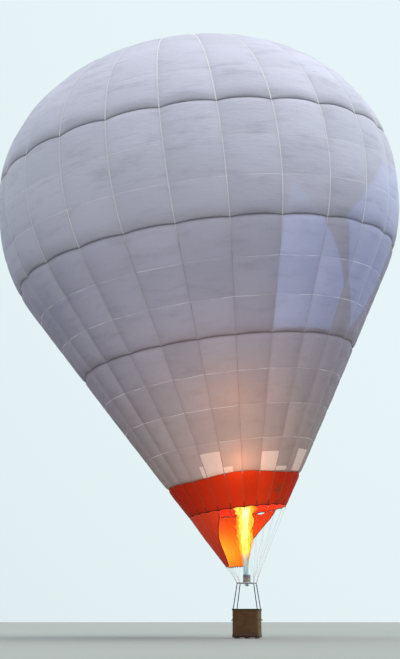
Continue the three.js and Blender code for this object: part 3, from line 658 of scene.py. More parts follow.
# From mouth to crown; the rise in lightness is painted light and shade as well as dirt.
GREYS = ((0.345, 0.32, 0.36), (0.39, 0.38, 0.52), (0.81, 0.80, 0.95))
REDS = ((0.33, 0.014, 0.008),) * 3
grey_cloth = panel_cloth(
    "envelope_cloth", GREYS, (0.93, 0.93, 0.97), (1.0, 0.34, 0.12), 1.0, (0.115, 0.110, 0.125), mended=True)
red_cloth = panel_cloth(
    "heatproof_cloth", REDS, (0.72, 0.2, 0.13), (1.0, 0.05, 0.004), 1.5, (0.06, 0.003, 0.002), soot=True)
print("mended panels:", len(MENDED))

# %% [markdown]
# ## The inside of the envelope
# Daylight comes through the cloth, so from inside the whole envelope looks lit. The inner face gets its
# own finish: the same panels and seams, with a soft glow of daylight and the warm light of the flame.

# %% Finish of the inner face
def inner_cloth(name, colour, daylight, fire, spot, reach, sewn=0.3):
    finish, tree, shader = new_finish(name, Roughness=0.7, Specular_IOR_Level=0.1, Emission_Strength=1.0)
    place = place_in(tree)
    to_tape, to_seam, to_ring = split(field(tree, "cloth"))
    roll = roll_of_cloth(tree)
    # Painted shade: seams, tapes, rings and folds darken both the colour and the glow.
    lines = (to_seam < 0.02) + (to_tape < 0.03) + (to_ring < 0.03)
    folded = noise(scaled(field(tree, "lie"), (1.4, 3.0, 5.0)), 1.0, 3.0, 0.5)
    shade = (1 - lines * sewn) * (roll * 0.1 + folded * 0.5 + 0.65)
    away = measured(place, spot, "DISTANCE")
    heat = reach / (away * away + reach)
    glow = [shade * (heat ** (i + 1) * fire[i] + daylight[i]) for i in range(3)]
    base = blended(tree, shade, [c * 0.4 for c in colour], colour)
    folds = bump(noise(scaled(field(tree, "lie"), (1.4, 9.0, 8.0)), 1.0, 4.0, 0.6), 0.03, 0.6)
    plug(tree, shader, Base_Color=base, Emission_Color=combined(tree, *glow), Normal=folds)
    return finish


MIDDLE_SPOT = (PIVOT.x, 0.0, PIVOT.z + 2.4)
grey_inside = inner_cloth(
    "envelope_inside", (0.6, 0.6, 0.62), (0.27, 0.28, 0.32), (0.9, 0.6, 0.4), MIDDLE_SPOT, 1.2)
red_inside = inner_cloth(
    "heatproof_inside", (0.5, 0.03, 0.015), (0.16, 0.008, 0.004), (2.4, 0.6, 0.05), MIDDLE_SPOT, 0.9)
print("inner finishes ready")

# %% [markdown]
# ## Cooking the bands
# Each band of panels is cooked from its net. A thickness is added afterwards with Solidify, so the cloth
# is a closed skin with an inner and an outer face. The loose copy of the net stays in `nets`: the tapes
# are laid along its rows and columns, so they follow every crease.

# %% Swollen skins for the five bands
CLOTH = 0.004
nets = {}


def read(rows, key, wide=3, kind=float):
    """One property of all the points, faces or corners of a mesh, as an array."""
    values = np.zeros(len(rows) * wide, kind)
    rows.foreach_get(key, values)
    return values.reshape(-1, wide) if wide > 1 else values


def keep_whole_turns(mesh):
    """Keep `lie` per corner, so that faces by the first tape don't run back round the whole envelope."""
    values = read(mesh.attributes["lie"].data, "vector")[read(mesh.loops, "vertex_index", 1, np.int32)]
    starts = read(mesh.polygons, "loop_start", 1, np.int32)
    totals = read(mesh.polygons, "loop_total", 1, np.int32)
    spread = np.maximum.reduceat(values[:, 2], starts) - np.minimum.reduceat(values[:, 2], starts)
    crossing = np.repeat(spread > 2 * np.pi, totals) & (values[:, 2] < 2 * np.pi)
    values[crossing, 2] += 4 * np.pi
    mesh.attributes.remove(mesh.attributes["lie"])
    layer = mesh.attributes.new("lie", "FLOAT_VECTOR", "CORNER")
    layer.data.foreach_set("vector", values.astype(np.float32).ravel())


def wall_of_cloth(piece, inner_finish):
    keep_whole_turns(piece.data)
    solid = piece.modifiers.new("thickness", "SOLIDIFY")
    solid.thickness = CLOTH
    solid.offset = -1
    solid.use_rim = True
    plain_mesh(piece)
    mesh = piece.data
    mesh.materials.append(inner_finish)
    first = [p.vertices[0] for p in mesh.polygons]
    outward = read(mesh.attributes["outward"].data, "vector")[first]
    facing = (read(mesh.polygons, "normal") * outward).sum(1)
    mesh.polygons.foreach_set("material_index", (facing < -0.5).astype(np.int32))
    for name in ("outward", "bell", "full"):
        mesh.attributes.remove(mesh.attributes[name])
    return piece


def corners_of(piece, size):
    points = read(piece.data.vertices, "co")
    outward = read(piece.data.attributes["outward"].data, "vector")
    return points.reshape(*size, 3), outward.reshape(*size, 3)


for band, edges in panel_edges.items():
    red = band == "mouth_band"
    piece, size = lay_net(band + "_skin", edges)
    cook(piece, swollen_gores, Finish=red_cloth if red else grey_cloth)
    nets[band] = corners_of(piece, size)
    wall_of_cloth(piece, red_inside if red else grey_inside)
    settle(piece, "balloon", "red_fabric" if red else "envelope_fabric", band, matrix=to_world)

# %% [markdown]
# ## Ribbons and bars along a path
# Tapes, ropes, hoops and coils are all a small section carried along a path. One recipe does it with Curve
# to Mesh. Each point of the path keeps the direction its flat side should face, and how thick the piece is
# there. A flat section makes webbing, and a round one makes bar, wire and rope.

# %% Recipes for flat and round sections along a path
def path_recipe(name, flat):
    tree, given = new_recipe(name, Width=0.04, Thickness=0.002, Sides=8, Finish="Material")
    line = Thread.node(tree, "GeometryNodeMeshToCurve", None, {"Mesh": given["Geometry"]})
    if flat:
        facing = attribute(tree, "facing", "FLOAT_VECTOR")
        feeds = {"Curve": line, "Normal": facing}
        line = Thread.node(tree, "GeometryNodeSetCurveNormal", {"mode": "FREE"}, feeds)
        sizes = {"Width": given["Thickness"], "Height": given["Width"]}
        section = Thread.node(tree, "GeometryNodeCurvePrimitiveQuadrilateral", None, sizes)
    else:
        sizes = {"Resolution": given["Sides"], "Radius": given["Width"] * 0.5}
        section = Thread.node(tree, "GeometryNodeCurvePrimitiveCircle", None, sizes)
    run = Thread.node(tree, "GeometryNodeSplineParameter", out="Length")
    line = Thread.node(
        tree, "GeometryNodeStoreNamedAttribute", {"data_type": "FLOAT"},
        {"Geometry": line, "Name": "run", "Value": run})
    feeds = {"Curve": line, "Profile Curve": section, "Scale": attribute(tree, "girth"), "Fill Caps": True}
    serve(tree, Thread.node(tree, "GeometryNodeCurveToMesh", None, feeds), given["Finish"])
    return tree


flat_path = path_recipe("webbing along a path", True)
round_path = path_recipe("bar along a path", False)


def face_out(piece):
    shell = bmesh.new()
    shell.from_mesh(piece.data)
    bmesh.ops.recalc_face_normals(shell, faces=shell.faces)
    shell.to_mesh(piece.data)
    shell.free()
    return piece


def carried_along(name, paths, recipe, finish, closed=False, facings=None, girths=None, **sizes):
    points = np.concatenate(paths)
    edges = []
    first = 0
    for path in paths:
        edges += [(first + i, first + i + 1) for i in range(len(path) - 1)]
        if closed:
            edges.append((first + len(path) - 1, first))
        first += len(path)
    piece = new_piece(name, points, edges)
    facing = np.concatenate(facings) if facings is not None else np.tile((0.0, 0.0, 1.0), (len(points), 1))
    put_field(piece, "facing", facing)
    put_field(piece, "girth", np.ones(len(points)) if girths is None else np.concatenate(girths))
    return face_out(cook(piece, recipe, Finish=finish, **sizes))


print("path recipes ready")

# %% [markdown]
# ## Webbing finish
# Load tapes are flat woven webbing with fine ribs across, and dirt gathers on them. High on this envelope
# they are painted nearly white as painted light, and on the cone they are painted dark as painted shade.

# %% Finish of woven webbing
def webbing(name, colour, lower=None, rib=0.004):
    glow = 0.0 if lower is None else 1.0
    finish, tree, shader = new_finish(name, Specular_IOR_Level=0.08, Emission_Strength=glow)
    place = place_in(tree)
    run = field(tree, "run", "Fac")
    ribs = run.maths("SINE", run * (2 * pi / rib)) * 0.5 + 0.5
    mottle = noise(place, 3.0, 4.0)
    shade = colour
    if lower is not None:
        height = height_over_mouth(place)
        # Painted light and shade: white above ring b, dark grey on the cone, and red on the red band.
        shade = blended(tree, eased(height, 8.6, 10.4), lower[1], colour)
        shade = blended(tree, eased(height, 1.1, 1.3), lower[0], shade)
        light = firelight(place, 0.5)
        warm = [light * part for part in (0.75, 0.12, 0.03)]
        plug(tree, shader, Emission_Color=combined(tree, *warm))
    worn = blended(tree, eased(mottle, 0.45, 0.8) * 0.45, shade, (0.62, 0.62, 0.62), "MULTIPLY")
    worn = blended(tree, ribs * 0.06, worn, (0.02, 0.02, 0.02))
    plug(tree, shader, Base_Color=worn, Roughness=mottle * 0.3 + 0.6, Normal=bump(ribs, 0.0004, 0.6))
    return finish


# White as painted light high up; dark grey as painted shade on the cone; red on the red band.
load_webbing = webbing("load_webbing", (0.97, 0.97, 1.0), ((0.44, 0.05, 0.03), (0.47, 0.44, 0.49)))
# Dark grey webbing, made dark partly as painted shade for the creases at the horizontal tapes.
ring_webbing = webbing("ring_webbing", (0.22, 0.22, 0.26))
hem_webbing = webbing("hem_webbing", (0.035, 0.025, 0.028))
print("webbing finishes ready")

# %% [markdown]
# ## Load tapes
# The load tapes carry the weight. Each of the 24 starts at a wire by the mouth, runs up the seam between
# two gores, crosses the open vent and ends round the crown ring. Their paths are columns of the cooked
# nets, so they sit in the grooves between the gores. The four horizontal tapes follow rows of them.

# %% Load tapes and horizontal tapes
TAPE_WIDTH = 0.042
RING_WIDTH = 0.022
TAPE_THICKNESS = 0.002
crown_line = [
    (r, float(np.interp(-r, -outline[200:, 0], outline[200:, 1])))
    for r in np.linspace(2.28, 0.115, 16)
]


def tape_path(tape):
    column = tape * COLUMNS
    parts = [nets[band][0][:-1, column] for band in panel_edges]
    facings = [nets[band][1][:-1, column] for band in panel_edges]
    azimuth = 2 * pi * tape / GORES
    over = [(r * sin(azimuth), -r * cos(azimuth), h + MOUTH_Z) for r, h in crown_line]
    path = np.concatenate([*parts, over])
    facing = np.concatenate([*facings, np.tile((0.0, 0.0, 1.0), (len(over), 1))])
    return path + 0.0022 * facing, facing


tape_paths, tape_facings = zip(*[tape_path(tape) for tape in range(GORES)])
load_tapes = carried_along(
    "load_tapes", tape_paths, flat_path, load_webbing, facings=tape_facings,
    Width=TAPE_WIDTH, Thickness=TAPE_THICKNESS)
settle(load_tapes, "balloon", "envelope_fabric", matrix=to_world, smooth=False)

ring_rows = [(nets[band][0][-1], nets[band][1][-1]) for band in list(panel_edges)[:-1]]
ring_tapes = carried_along(
    "ring_tapes", [path + 0.004 * facing for path, facing in ring_rows], flat_path, ring_webbing, closed=True,
    facings=[facing for path, facing in ring_rows], Width=RING_WIDTH, Thickness=TAPE_THICKNESS)
settle(ring_tapes, "balloon", "envelope_fabric", matrix=to_world, smooth=False)

# %% [markdown]
# ## The parachute vent
# The vent is a cloth disc that hot air holds up against the crossing tapes. Its edge lies under the edge
# of the crown opening, and it is pulled down on a line to let air out. It is a sixth net, laid from its
# own rim to the middle, just under the others, and it rides on the sliding body.

# %% Vent panel on the sliding body
VENT_INSET = 0.0108
vent_edges = np.linspace(vent_arc, arc_at_radius(0.03), 3)
vent, size = lay_net("vent_skin", vent_edges, rows=10, inset=VENT_INSET)
vent.data.attributes.remove(vent.data.attributes["full"])
put_field(vent, "full", np.full(size[0] * size[1], 0.08))
cook(vent, swollen_gores, Finish=grey_cloth, Crease=0.0, Wrinkle=0.012)
disc = bmesh.new()
disc.from_mesh(vent.data)
disc.verts.ensure_lookup_table()
disc.faces.new([disc.verts[i] for i in range((size[0] - 1) * size[1], size[0] * size[1])])
disc.to_mesh(vent.data)
disc.free()
wall_of_cloth(vent, grey_inside)
settle(vent, "vent", "vent_fabric", "parachute_vent", matrix=to_world)

# %% [markdown]
# ## Small turned and pressed parts
# Rings, sleeves, nozzles, bolts and cups are turned on a lathe: a half outline spun about an axis.
# `turned` spins one, and closes it at the axis. `block` is a bar or a plate with its edges taken off.

# %% Turned parts and blocks
def skin_rows(shape, rows, sides, hoop=False):
    """Faces between rows of points, where a row of one point is a tip, and all of them turned outwards."""
    pairs = list(zip(rows, rows[1:])) + ([(rows[-1], rows[0])] if hoop else [])
    for low, high in pairs:
        for i in range(sides):
            k = (i + 1) % sides
            ring = [low[i % len(low)], low[k % len(low)], high[k % len(high)], high[i % len(high)]]
            corners = list(dict.fromkeys(ring))
            if len(corners) > 2:
                shape.faces.new(corners)
    bmesh.ops.recalc_face_normals(shape, faces=shape.faces)


def turned(name, half_outline, sides=24, finish=None, matrix=None):
    shape = bmesh.new()
    rows = []
    for radius, height in half_outline:
        if radius < 1e-6:
            rows.append([shape.verts.new((0, 0, height))])
        else:
            rows.append([
                shape.verts.new((radius * cos(a), radius * sin(a), height))
                for a in full_turn(sides)])
    skin_rows(shape, rows, sides, hoop=half_outline[0][0] > 1e-6)
    piece = piece_from(shape, name, finish)
    if matrix is not None:
        piece.data.transform(matrix)
    return piece


def block(name, size, middle=(0, 0, 0), edge=0.002, finish=None):
    shape = bmesh.new()
    bmesh.ops.create_cube(shape, size=1.0)
    bmesh.ops.scale(shape, vec=size, verts=shape.verts)
    bmesh.ops.bevel(shape, geom=shape.edges, offset=edge, segments=2, profile=0.6, affect="EDGES")
    bmesh.ops.translate(shape, vec=middle, verts=shape.verts)
    return piece_from(shape, name, finish)


print("turned and block are ready")

# %% [markdown]
# ## Copies set down at many places
# Rivets, jets and sleeves repeat by the dozen. `set_down` is a second recipe: it puts copies of a small
# part at many places, each with its own turn and size. `pointing` gives such a place, and `joined` makes
# one piece of several, so that a welded or assembled part is one mesh on one body.

# %% A recipe that sets copies down, places and joining
copies, given = new_recipe("copies set down", Part="Object", Finish="Material")
part = Thread.node(copies, "GeometryNodeObjectInfo", None, {"Object": given["Part"]}, "Geometry")
turn = Thread.node(
    copies, "FunctionNodeEulerToRotation", None, {"Euler": attribute(copies, "turn", "FLOAT_VECTOR")})
feeds = {"Points": Thread.node(copies, "GeometryNodeMeshToPoints", None, {"Mesh": given["Geometry"]})}
feeds.update(Instance=part, Rotation=turn, Scale=attribute(copies, "size", "FLOAT_VECTOR"))
serve(copies, Thread.node(copies, "GeometryNodeInstanceOnPoints", None, feeds), given["Finish"])


def set_down(name, part, places, finish, sizes=None):
    piece = new_piece(name, [matrix.to_translation() for matrix in places])
    put_field(piece, "turn", [tuple(matrix.to_euler()) for matrix in places])
    put_field(piece, "size", sizes or [(1.0, 1.0, 1.0)] * len(places))
    cook(piece, copies, Part=part, Finish=finish)
    bpy.data.objects.remove(part)
    return piece


def pointing(place, along, across=(0.0, 0.0, 1.0)):
    """A place whose Z runs along one direction and whose X leans towards another."""
    z_axis = Vector(along).normalized()
    x_axis = Vector(across) - Vector(across).dot(z_axis) * z_axis
    if x_axis.length < 1e-4:
        x_axis = z_axis.orthogonal()
    x_axis.normalize()
    matrix = Matrix((x_axis, z_axis.cross(x_axis), z_axis)).transposed().to_4x4()
    matrix.translation = place
    return matrix


def joined(name, *pieces):
    whole = bmesh.new()
    finishes = []
    for piece in pieces:
        for material in piece.data.materials:
            if material not in finishes:
                finishes.append(material)
        start = len(whole.faces)
        whole.from_mesh(piece.data)
        whole.faces.ensure_lookup_table()
        for face in whole.faces[start:]:
            face.material_index = finishes.index(piece.data.materials[face.material_index])
        bpy.data.objects.remove(piece)
    result = piece_from(whole, name)
    for material in finishes:
        result.data.materials.append(material)
    return result


print("set_down, pointing and joined are ready")

# %% [markdown]
# ## Metal finishes
# Steel and brass here are satin, with fine scratches, and the parts by the flame are heat-tinted: straw,
# brown and blue bands come with rising temperature. Roughness varies more than colour, as on real metal.

# %% Finish of metals
def metal(name, colour, roughness=0.3, grain=(40, 40, 40), stain=(0.3, 0.25, 0.2), stained=0.15,
          tint_from=None):
    finish, tree, shader = new_finish(name, Metallic=1.0)
    place = place_in(tree)
    scratches = noise(scaled(place, grain), 6.0, 3.0, 0.7)
    patches = noise(place, 9.0, 4.0)
    shade = blended(tree, eased(patches, 0.45, 0.75) * stained * 3, colour, stain)
    if tint_from is not None:
        up = split(place)[2] - tint_from
        heat = up * 3.4 + patches * 0.5 - 0.2
        stops = [(0.0, colour), (0.3, (0.55, 0.42, 0.2)), (0.5, (0.35, 0.16, 0.12)),
                 (0.65, (0.12, 0.14, 0.32)), (0.85, (0.3, 0.33, 0.38)), (1.0, (0.2, 0.17, 0.15))]
        shade = blended(tree, 0.75, shade, ramp(heat, stops))
    rough = scratches * 0.25 + patches * 0.12 + (roughness - 0.15)
    plug(tree, shader, Base_Color=shade, Roughness=rough, Normal=bump(scratches, 0.0004, 0.4))
    return finish


stainless = metal("satin_stainless", (0.60, 0.61, 0.63), 0.34)
wire_steel = metal("wire_steel", (0.48, 0.49, 0.51), 0.42, (5, 5, 90))
forged_steel = metal("forged_steel", (0.66, 0.67, 0.69), 0.25)
alloy = metal("turned_alloy", (0.72, 0.73, 0.75), 0.3, (4, 4, 80))
brass = metal("brass", (0.72, 0.5, 0.2), 0.3, stain=(0.3, 0.2, 0.08))
print("metals ready")

# %% [markdown]
# ## Crown ring
# The 24 load tapes meet at a turned alloy ring. Each tape goes round the ring and is sewn back on itself,
# so a short loop of webbing is set down on the ring at each tape.

# %% Crown ring with a loop for each tape
CROWN_RING = 0.110
crown_z = float(outline[-1, 1]) + MOUTH_Z + 0.010
ring_section = [(CROWN_RING + 0.0145 * cos(a), crown_z + 0.0115 * sin(a)) for a in full_turn(16)]
ring = turned("crown_ring_turned", ring_section, 72, alloy)
loop_line = [(0.0185 * cos(a), 0, 0.0155 * sin(a)) for a in full_turn(16)]
loop_out = [(cos(a), 0, sin(a)) for a in full_turn(16)]
loop = carried_along(
    "tape_loop", [loop_line], flat_path, load_webbing, closed=True, facings=[loop_out],
    Width=0.02, Thickness=0.003)
around = [Matrix.Rotation(2 * pi * (k - 6) / GORES, 4, "Z") for k in range(GORES)]
at_ring = Matrix.Translation((CROWN_RING, 0, crown_z))
loops = set_down("tape_loops", loop, [turn @ at_ring for turn in around], load_webbing)
settle(joined("crown_ring_with_loops", ring, loops), "balloon", "crown_ring", "crown_ring", matrix=to_world)

# %% [markdown]
# ## Where the wires run
# Six wires gather from the mouth to each corner of the burner frame. The pull of those six gives the
# direction in which the lug, the karabiner and the wire eye line up, so a few sizes give every place.

# %% Corners, pulls and ferrules, in the basket's frame
HEM_DROP = 0.0256
LUG_RISE = 0.046
SEAT = 0.00076
LINK = 0.078
FERRULE = 0.046
FRAME_SIDE = (0.331, 0.456)
FRAME_BEND = 0.06
CORNER_NAMES = {
    "front_right": (1, -1, 0),
    "back_right": (1, 1, 6),
    "back_left": (-1, 1, 12),
    "front_left": (-1, -1, 18),
}
from_world = from_basket.inverted()


def tape_direction(tape):
    azimuth = 2 * pi * tape / GORES
    return Vector((sin(azimuth), -cos(azimuth), 0))


def hem_point(tape):
    return from_world @ to_world @ (tape_direction(tape) * MOUTH_RADIUS + Vector((0, 0, MOUTH_Z - HEM_DROP)))


def corner_layout(side_x, side_y, first):
    inset = FRAME_BEND * (1 - sqrt(0.5))
    corner = Vector((side_x * (FRAME_SIDE[0] - inset), side_y * (FRAME_SIDE[1] - inset), FRAME_UP))
    tapes = range(first, first + 6)
    middle = sum((hem_point(tape) for tape in tapes), Vector()) / 6
    pull = (middle - corner).normalized()
    across = Vector((0, 0, 1)).cross(pull).normalized()
    ferrule = corner + pull * (LUG_RISE + 2 * SEAT + LINK + FERRULE)
    return {
        "side": (side_x, side_y), "corner": corner, "tapes": tapes, "pull": pull, "across": across,
        "ferrule": ferrule}


def fit(piece, body, slot, *nodes, smooth=True):
    """Settle a piece that was made in the basket's frame."""
    return settle(piece, body, slot, *nodes, matrix=from_basket, smooth=smooth)


corners = {name: corner_layout(*sides) for name, sides in CORNER_NAMES.items()}
for name, corner in corners.items():
    print(" ", name, [round(v, 3) for v in corner["pull"]])

# %% [markdown]
# ## The mouth
# The red cloth ends in a heavy folded hem. At each load tape a strap is sewn over the hem and holds the
# thimble of a wire, and a pressed sleeve closes the wire round it. The hem follows the red net's lowest row.

# %% Hem, sewn straps, thimbles and pressed sleeves
mouth_row, mouth_facing = nets["mouth_band"][0][0], nets["mouth_band"][1][0]
hem_up = nets["mouth_band"][0][1] - mouth_row
hem_up /= np.linalg.norm(hem_up, axis=1)[:, None]
hem = carried_along(
    "hem_tape", [mouth_row - 0.008 * hem_up - 0.002 * mouth_facing], flat_path, hem_webbing, closed=True,
    facings=[mouth_facing], Width=0.036, Thickness=0.009)
settle(hem, "balloon", "hem_tape", "mouth_hem", matrix=to_world, smooth=False)

strap_paths = []
strap_facings = []
for tape in range(GORES):
    column = tape * COLUMNS
    line = nets["mouth_band"][0][:4, column] + 0.006 * nets["mouth_band"][1][:4, column]
    out = np.array(tape_direction(tape))
    foot = mouth_row[column] + np.array((0, 0, -0.020))
    strap_paths.append(np.array([*line[::-1], foot + 0.004 * out, foot - 0.006 * out]))
    strap_facings.append(np.array([*nets["mouth_band"][1][:4, column][::-1], out, -np.array((0, 0, 1.0))]))
straps = carried_along(
    "wire_straps", strap_paths, flat_path, hem_webbing, facings=strap_facings, Width=0.025, Thickness=0.003)
settle(straps, "balloon", "hem_tape", matrix=to_world, smooth=False)

wires = []
for corner in corners.values():
    for tape in corner["tapes"]:
        top = hem_point(tape)
        wires.append((top, (corner["ferrule"] - top).normalized()))
sleeve_line = [(0, 0), (0.0042, 0), (0.0055, 0.002), (0.0055, 0.034), (0.0042, 0.036), (0, 0.036)]
sleeve = turned("sleeve", sleeve_line, 12)
sleeve_places = [pointing(top + along * 0.03, along) for top, along in wires]
sleeves = set_down("pressed_sleeves", sleeve, sleeve_places, forged_steel)
fit(sleeves, "balloon", "wire_rope")
thimble_line = [(0.010 * cos(a), 0, 0.015 * sin(a)) for a in full_turn(20)]
thimble = carried_along("thimble", [thimble_line], round_path, forged_steel, closed=True, Width=0.005)
thimble_places = [pointing(top + along * 0.014, along) for top, along in wires]
thimbles = set_down("wire_thimbles", thimble, thimble_places, forged_steel)
fit(thimbles, "balloon", "wire_rope")

for name in corners:
    wire = frame["nodes"]["flying_wires_" + name]
    wire.data.materials.clear()
    wire.data.materials.append(wire_steel)
print("straps:", len(strap_paths), "wires:", len(wires))

# %% [markdown]
# ## Karabiners
# A screw-gate karabiner joins the wire eye to the lug at each corner. It is a bent bar with a hinged gate,
# and a turned, knurled sleeve screws over the gate. The bar follows the same oval as its solid.

# %% Karabiners with screw sleeves
LINK_RADIUS = 0.0165
STRAIGHT = 0.045
half_turn = np.linspace(0, pi, 12)
oval = [(LINK_RADIUS * cos(a), 0, STRAIGHT / 2 + LINK_RADIUS * sin(a)) for a in half_turn]
oval += [(-LINK_RADIUS * cos(a), 0, -STRAIGHT / 2 - LINK_RADIUS * sin(a)) for a in half_turn]
knurl = [(0.0062, -0.017)]
for i in range(9):
    knurl += [(0.0082, -0.016 + 0.0036 * i), (0.0076, -0.0144 + 0.0036 * i)]
knurl += [(0.0062, 0.017)]
hinge_line = [(0, -0.0068), (0.0025, -0.0068), (0.0025, 0.0068), (0, 0.0068)]
at_hinge = Matrix.Translation((LINK_RADIUS, 0, -0.021)) @ Matrix.Rotation(pi / 2, 4, "X")
for name, corner in corners.items():
    oval_bar = carried_along(
        "bar", [oval], round_path, forged_steel, closed=True, Width=0.011, Sides=14)
    sleeve = turned("screw_sleeve", knurl, 18, brass, Matrix.Translation((LINK_RADIUS, 0, 0.004)))
    hinge = turned("gate_hinge", hinge_line, 10, forged_steel, at_hinge)
    middle = corner["corner"] + corner["pull"] * (LUG_RISE + SEAT + LINK / 2)
    place = pointing(middle, corner["pull"], corner["across"])
    karabiner = joined("screw_karabiner_" + name, oval_bar, sleeve, hinge)
    settle(karabiner, "balloon", "karabiner", "karabiner_" + name, matrix=from_basket @ place)

# %% [markdown]
# ## The scoop
# The scoop is a skirt of the same red cloth that hangs inside the wires and turns the wind into the mouth.
# It covers the back and the left, and it is open where the burner is worked from. Its cloth bellies a
# little between the wires, and its lower edge is bound. From inside, the flame lights it bright orange.

# %% Scoop cloth between the wires
SCOOP_TAPES = range(9, 24)
SCOOP_REACH = 0.81
SCOOP_COLUMNS = 10
SCOOP_ROWS = 40


def wire_of(tape):
    return next(corner for corner in corners.values() if tape in corner["tapes"])


def free_edges(down):
    """The tapes that the skirt reaches between, this far down the wires."""
    first = SCOOP_TAPES[0] + 2.3 * sin(0.5 * pi * min(1.0, down * 1.75)) ** 1.7 + 0.3 * down ** 2
    last = SCOOP_TAPES[-1] - 0.9 * sin(pi * down ** 1.25) ** 1.4 - 1.6 * down ** 6
    return first, last


def scoop_point(turn, down):
    """A place on the skirt, from the tape it hangs between, and how far down the wires it is."""
    tape = min(int(turn), SCOOP_TAPES[-1] - 1)
    share = turn - tape
    ends = [hem_point(t).lerp(wire_of(t)["ferrule"], SCOOP_REACH * down) for t in (tape, tape + 1)]
    width = (ends[1] - ends[0]).length
    belly = sin(pi * share) * width * 0.1 * min(1.0, 0.25 + 1.5 * down)
    out = tape_direction(tape).lerp(tape_direction(tape + 1), share).normalized()
    slump = Vector((0, 0, 0.05)) * sin(pi * share) * down ** 4
    gap = 0.075 if tape in (10, 14) else 0.012
    top_sag = Vector((0, 0, 0.045 - gap * sin(pi * share))) * (1 - down) ** 8
    place = ends[0].lerp(ends[1], share) + out * (belly - 0.0042) + slump + top_sag
    return place, out, min(share, 1 - share) * width


print("the skirt's top reaches from tape", free_edges(0.0)[0], "to tape", free_edges(0.0)[1])

# %% [markdown]
# ## Cutting and hanging the skirt
# The net of the skirt carries the same fields as the envelope's nets, so it goes through the same recipe
# for its wrinkles and takes the same kind of finish. Its flat size is what it would be cut from: fourteen
# gores wide at the hem, and as long as the wires that it hangs beside.

# %% Net, finish and skin of the skirt
points = []
outs = []
fields = []
panels = []
scoop_wide = (len(SCOOP_TAPES) - 1) * SCOOP_COLUMNS + 1
for row in range(SCOOP_ROWS + 1):
    down = row / SCOOP_ROWS
    for turn in np.linspace(*free_edges(down), scoop_wide):
        place, out, tape_gap = scoop_point(float(turn), down)
        points.append(place)
        outs.append(out)
        fields.append((tape_gap, 3.0 * (1 - down), 1.0, turn, down * 3))
faces = []
for row in range(SCOOP_ROWS):
    for column in range(scoop_wide - 1):
        low = row * scoop_wide + column
        faces.append((low, low + scoop_wide, low + scoop_wide + 1, low + 1))
        panels.extend([(int(fields[low][3]) + 0.5, 40.5)] * 4)
scoop = new_piece("scoop_skirt", points, faces=faces)
fields = np.array(fields)
for name, values in (("outward", outs), ("cloth", fields[:, :3]), ("lie", fields[:, [0, 4, 3]])):
    put_field(scoop, name, values)
put_field(scoop, "bell", np.ones(len(points)))
put_field(scoop, "full", np.zeros(len(points)))
put_field(scoop, "panel", panels, "CORNER")
SCOOP_REDS = ((0.60, 0.045, 0.025),) * 3
scoop_cloth = panel_cloth(
    "scoop_cloth", SCOOP_REDS, (0.6, 0.16, 0.1), (1.0, 0.06, 0.004), 2.2, (0.03, 0.002, 0.001))
scoop_inside = inner_cloth(
    "scoop_inside", (0.42, 0.03, 0.01), (0.14, 0.01, 0.003), (2.7, 2.5, 0.25),
    (PIVOT.x - 0.8, 0.2, PIVOT.z + 1.6), 0.5, sewn=0.07)
cook(scoop, swollen_gores, Finish=scoop_cloth, Bulge=0.0, Crease=0.0, Seam=0.0, Wrinkle=0.03)
edge_points, edge_outs = corners_of(scoop, (SCOOP_ROWS + 1, scoop_wide))
wall_of_cloth(scoop, scoop_inside)
fit(scoop, "balloon", "scoop_fabric", "scoop")

# %% [markdown]
# ## Scoop binding and wire hooks
# Webbing binds the scoop's free edges, and small rings hold the skirt to each wire so that it can't flap.

# %% Bound edges and rings round the wires
bound_paths = [edge_points[:, 0], edge_points[:, -1], edge_points[-1]]
bound_outs = [edge_outs[:, 0], edge_outs[:, -1], edge_outs[-1]]
binding = carried_along(
    "scoop_binding", bound_paths, flat_path, hem_webbing, facings=bound_outs, Width=0.024, Thickness=0.007)
fit(binding, "balloon", "scoop_fabric", smooth=False)
hook_line = [(0.0075 * cos(a), 0.0075 * sin(a), 0) for a in full_turn(16)]
hook = carried_along("hook", [hook_line], round_path, brass, closed=True, Width=0.003, Sides=6)
hook_places = []
for tape in SCOOP_TAPES:
    high = hem_point(tape)
    low = wire_of(tape)["ferrule"]
    for share in (0.2, 0.4, 0.6, 0.79):
        first, last = free_edges(share / SCOOP_REACH)
        if first <= tape <= last:
            hook_places.append(pointing(high.lerp(low, share) - tape_direction(tape) * 0.003, low - high))
hooks = set_down("wire_rings", hook, hook_places, brass)
fit(hooks, "balloon", "wire_rope")

# %% [markdown]
# ## Burner frame
# The frame is a loop of satin stainless tube, bent at four corners, and it hangs level under the wires. At
# each corner a flat lug is welded on for the karabiner, and a short stub points down for the upright. Two
# drilled blocks carry the gimbal's pins. The weld beads are small rings of lumps.

# %% Rounded rectangles, bars between two points and welds
def rounded(width, depth, corner, height, steps=8):
    path = []
    for quarter, (sx, sy) in enumerate(((1, 1), (-1, 1), (-1, -1), (1, -1))):
        for a in np.linspace(0, pi / 2, steps + 1):
            angle = quarter * pi / 2 + a
            path.append((sx * (width / 2 - corner) + corner * cos(angle),
                         sy * (depth / 2 - corner) + corner * sin(angle), height))
    return np.array(path)


def rod(name, start, end, radius, finish, sides=16):
    start, end = Vector(start), Vector(end)
    edge = min(radius * 0.15, 0.002)
    long = (end - start).length
    line = [(0, 0), (radius - edge, 0), (radius, edge)]
    line += [(radius, long - edge), (radius - edge, long), (0, long)]
    return turned(name, line, sides, finish, pointing(start, end - start))


def weld(name, place, along, radius, bead=0.0035):
    count = max(10, int(2 * pi * radius / 0.006))
    matrix = pointing(place, along)
    line = [matrix @ Vector((radius * cos(a), radius * sin(a), 0)) for a in full_turn(count * 2)]
    lumps = [[1.0 if i % 2 else 0.72 for i in range(count * 2)]]
    return carried_along(
        name, [line], round_path, forged_steel, closed=True, girths=lumps, Width=bead * 2, Sides=8)


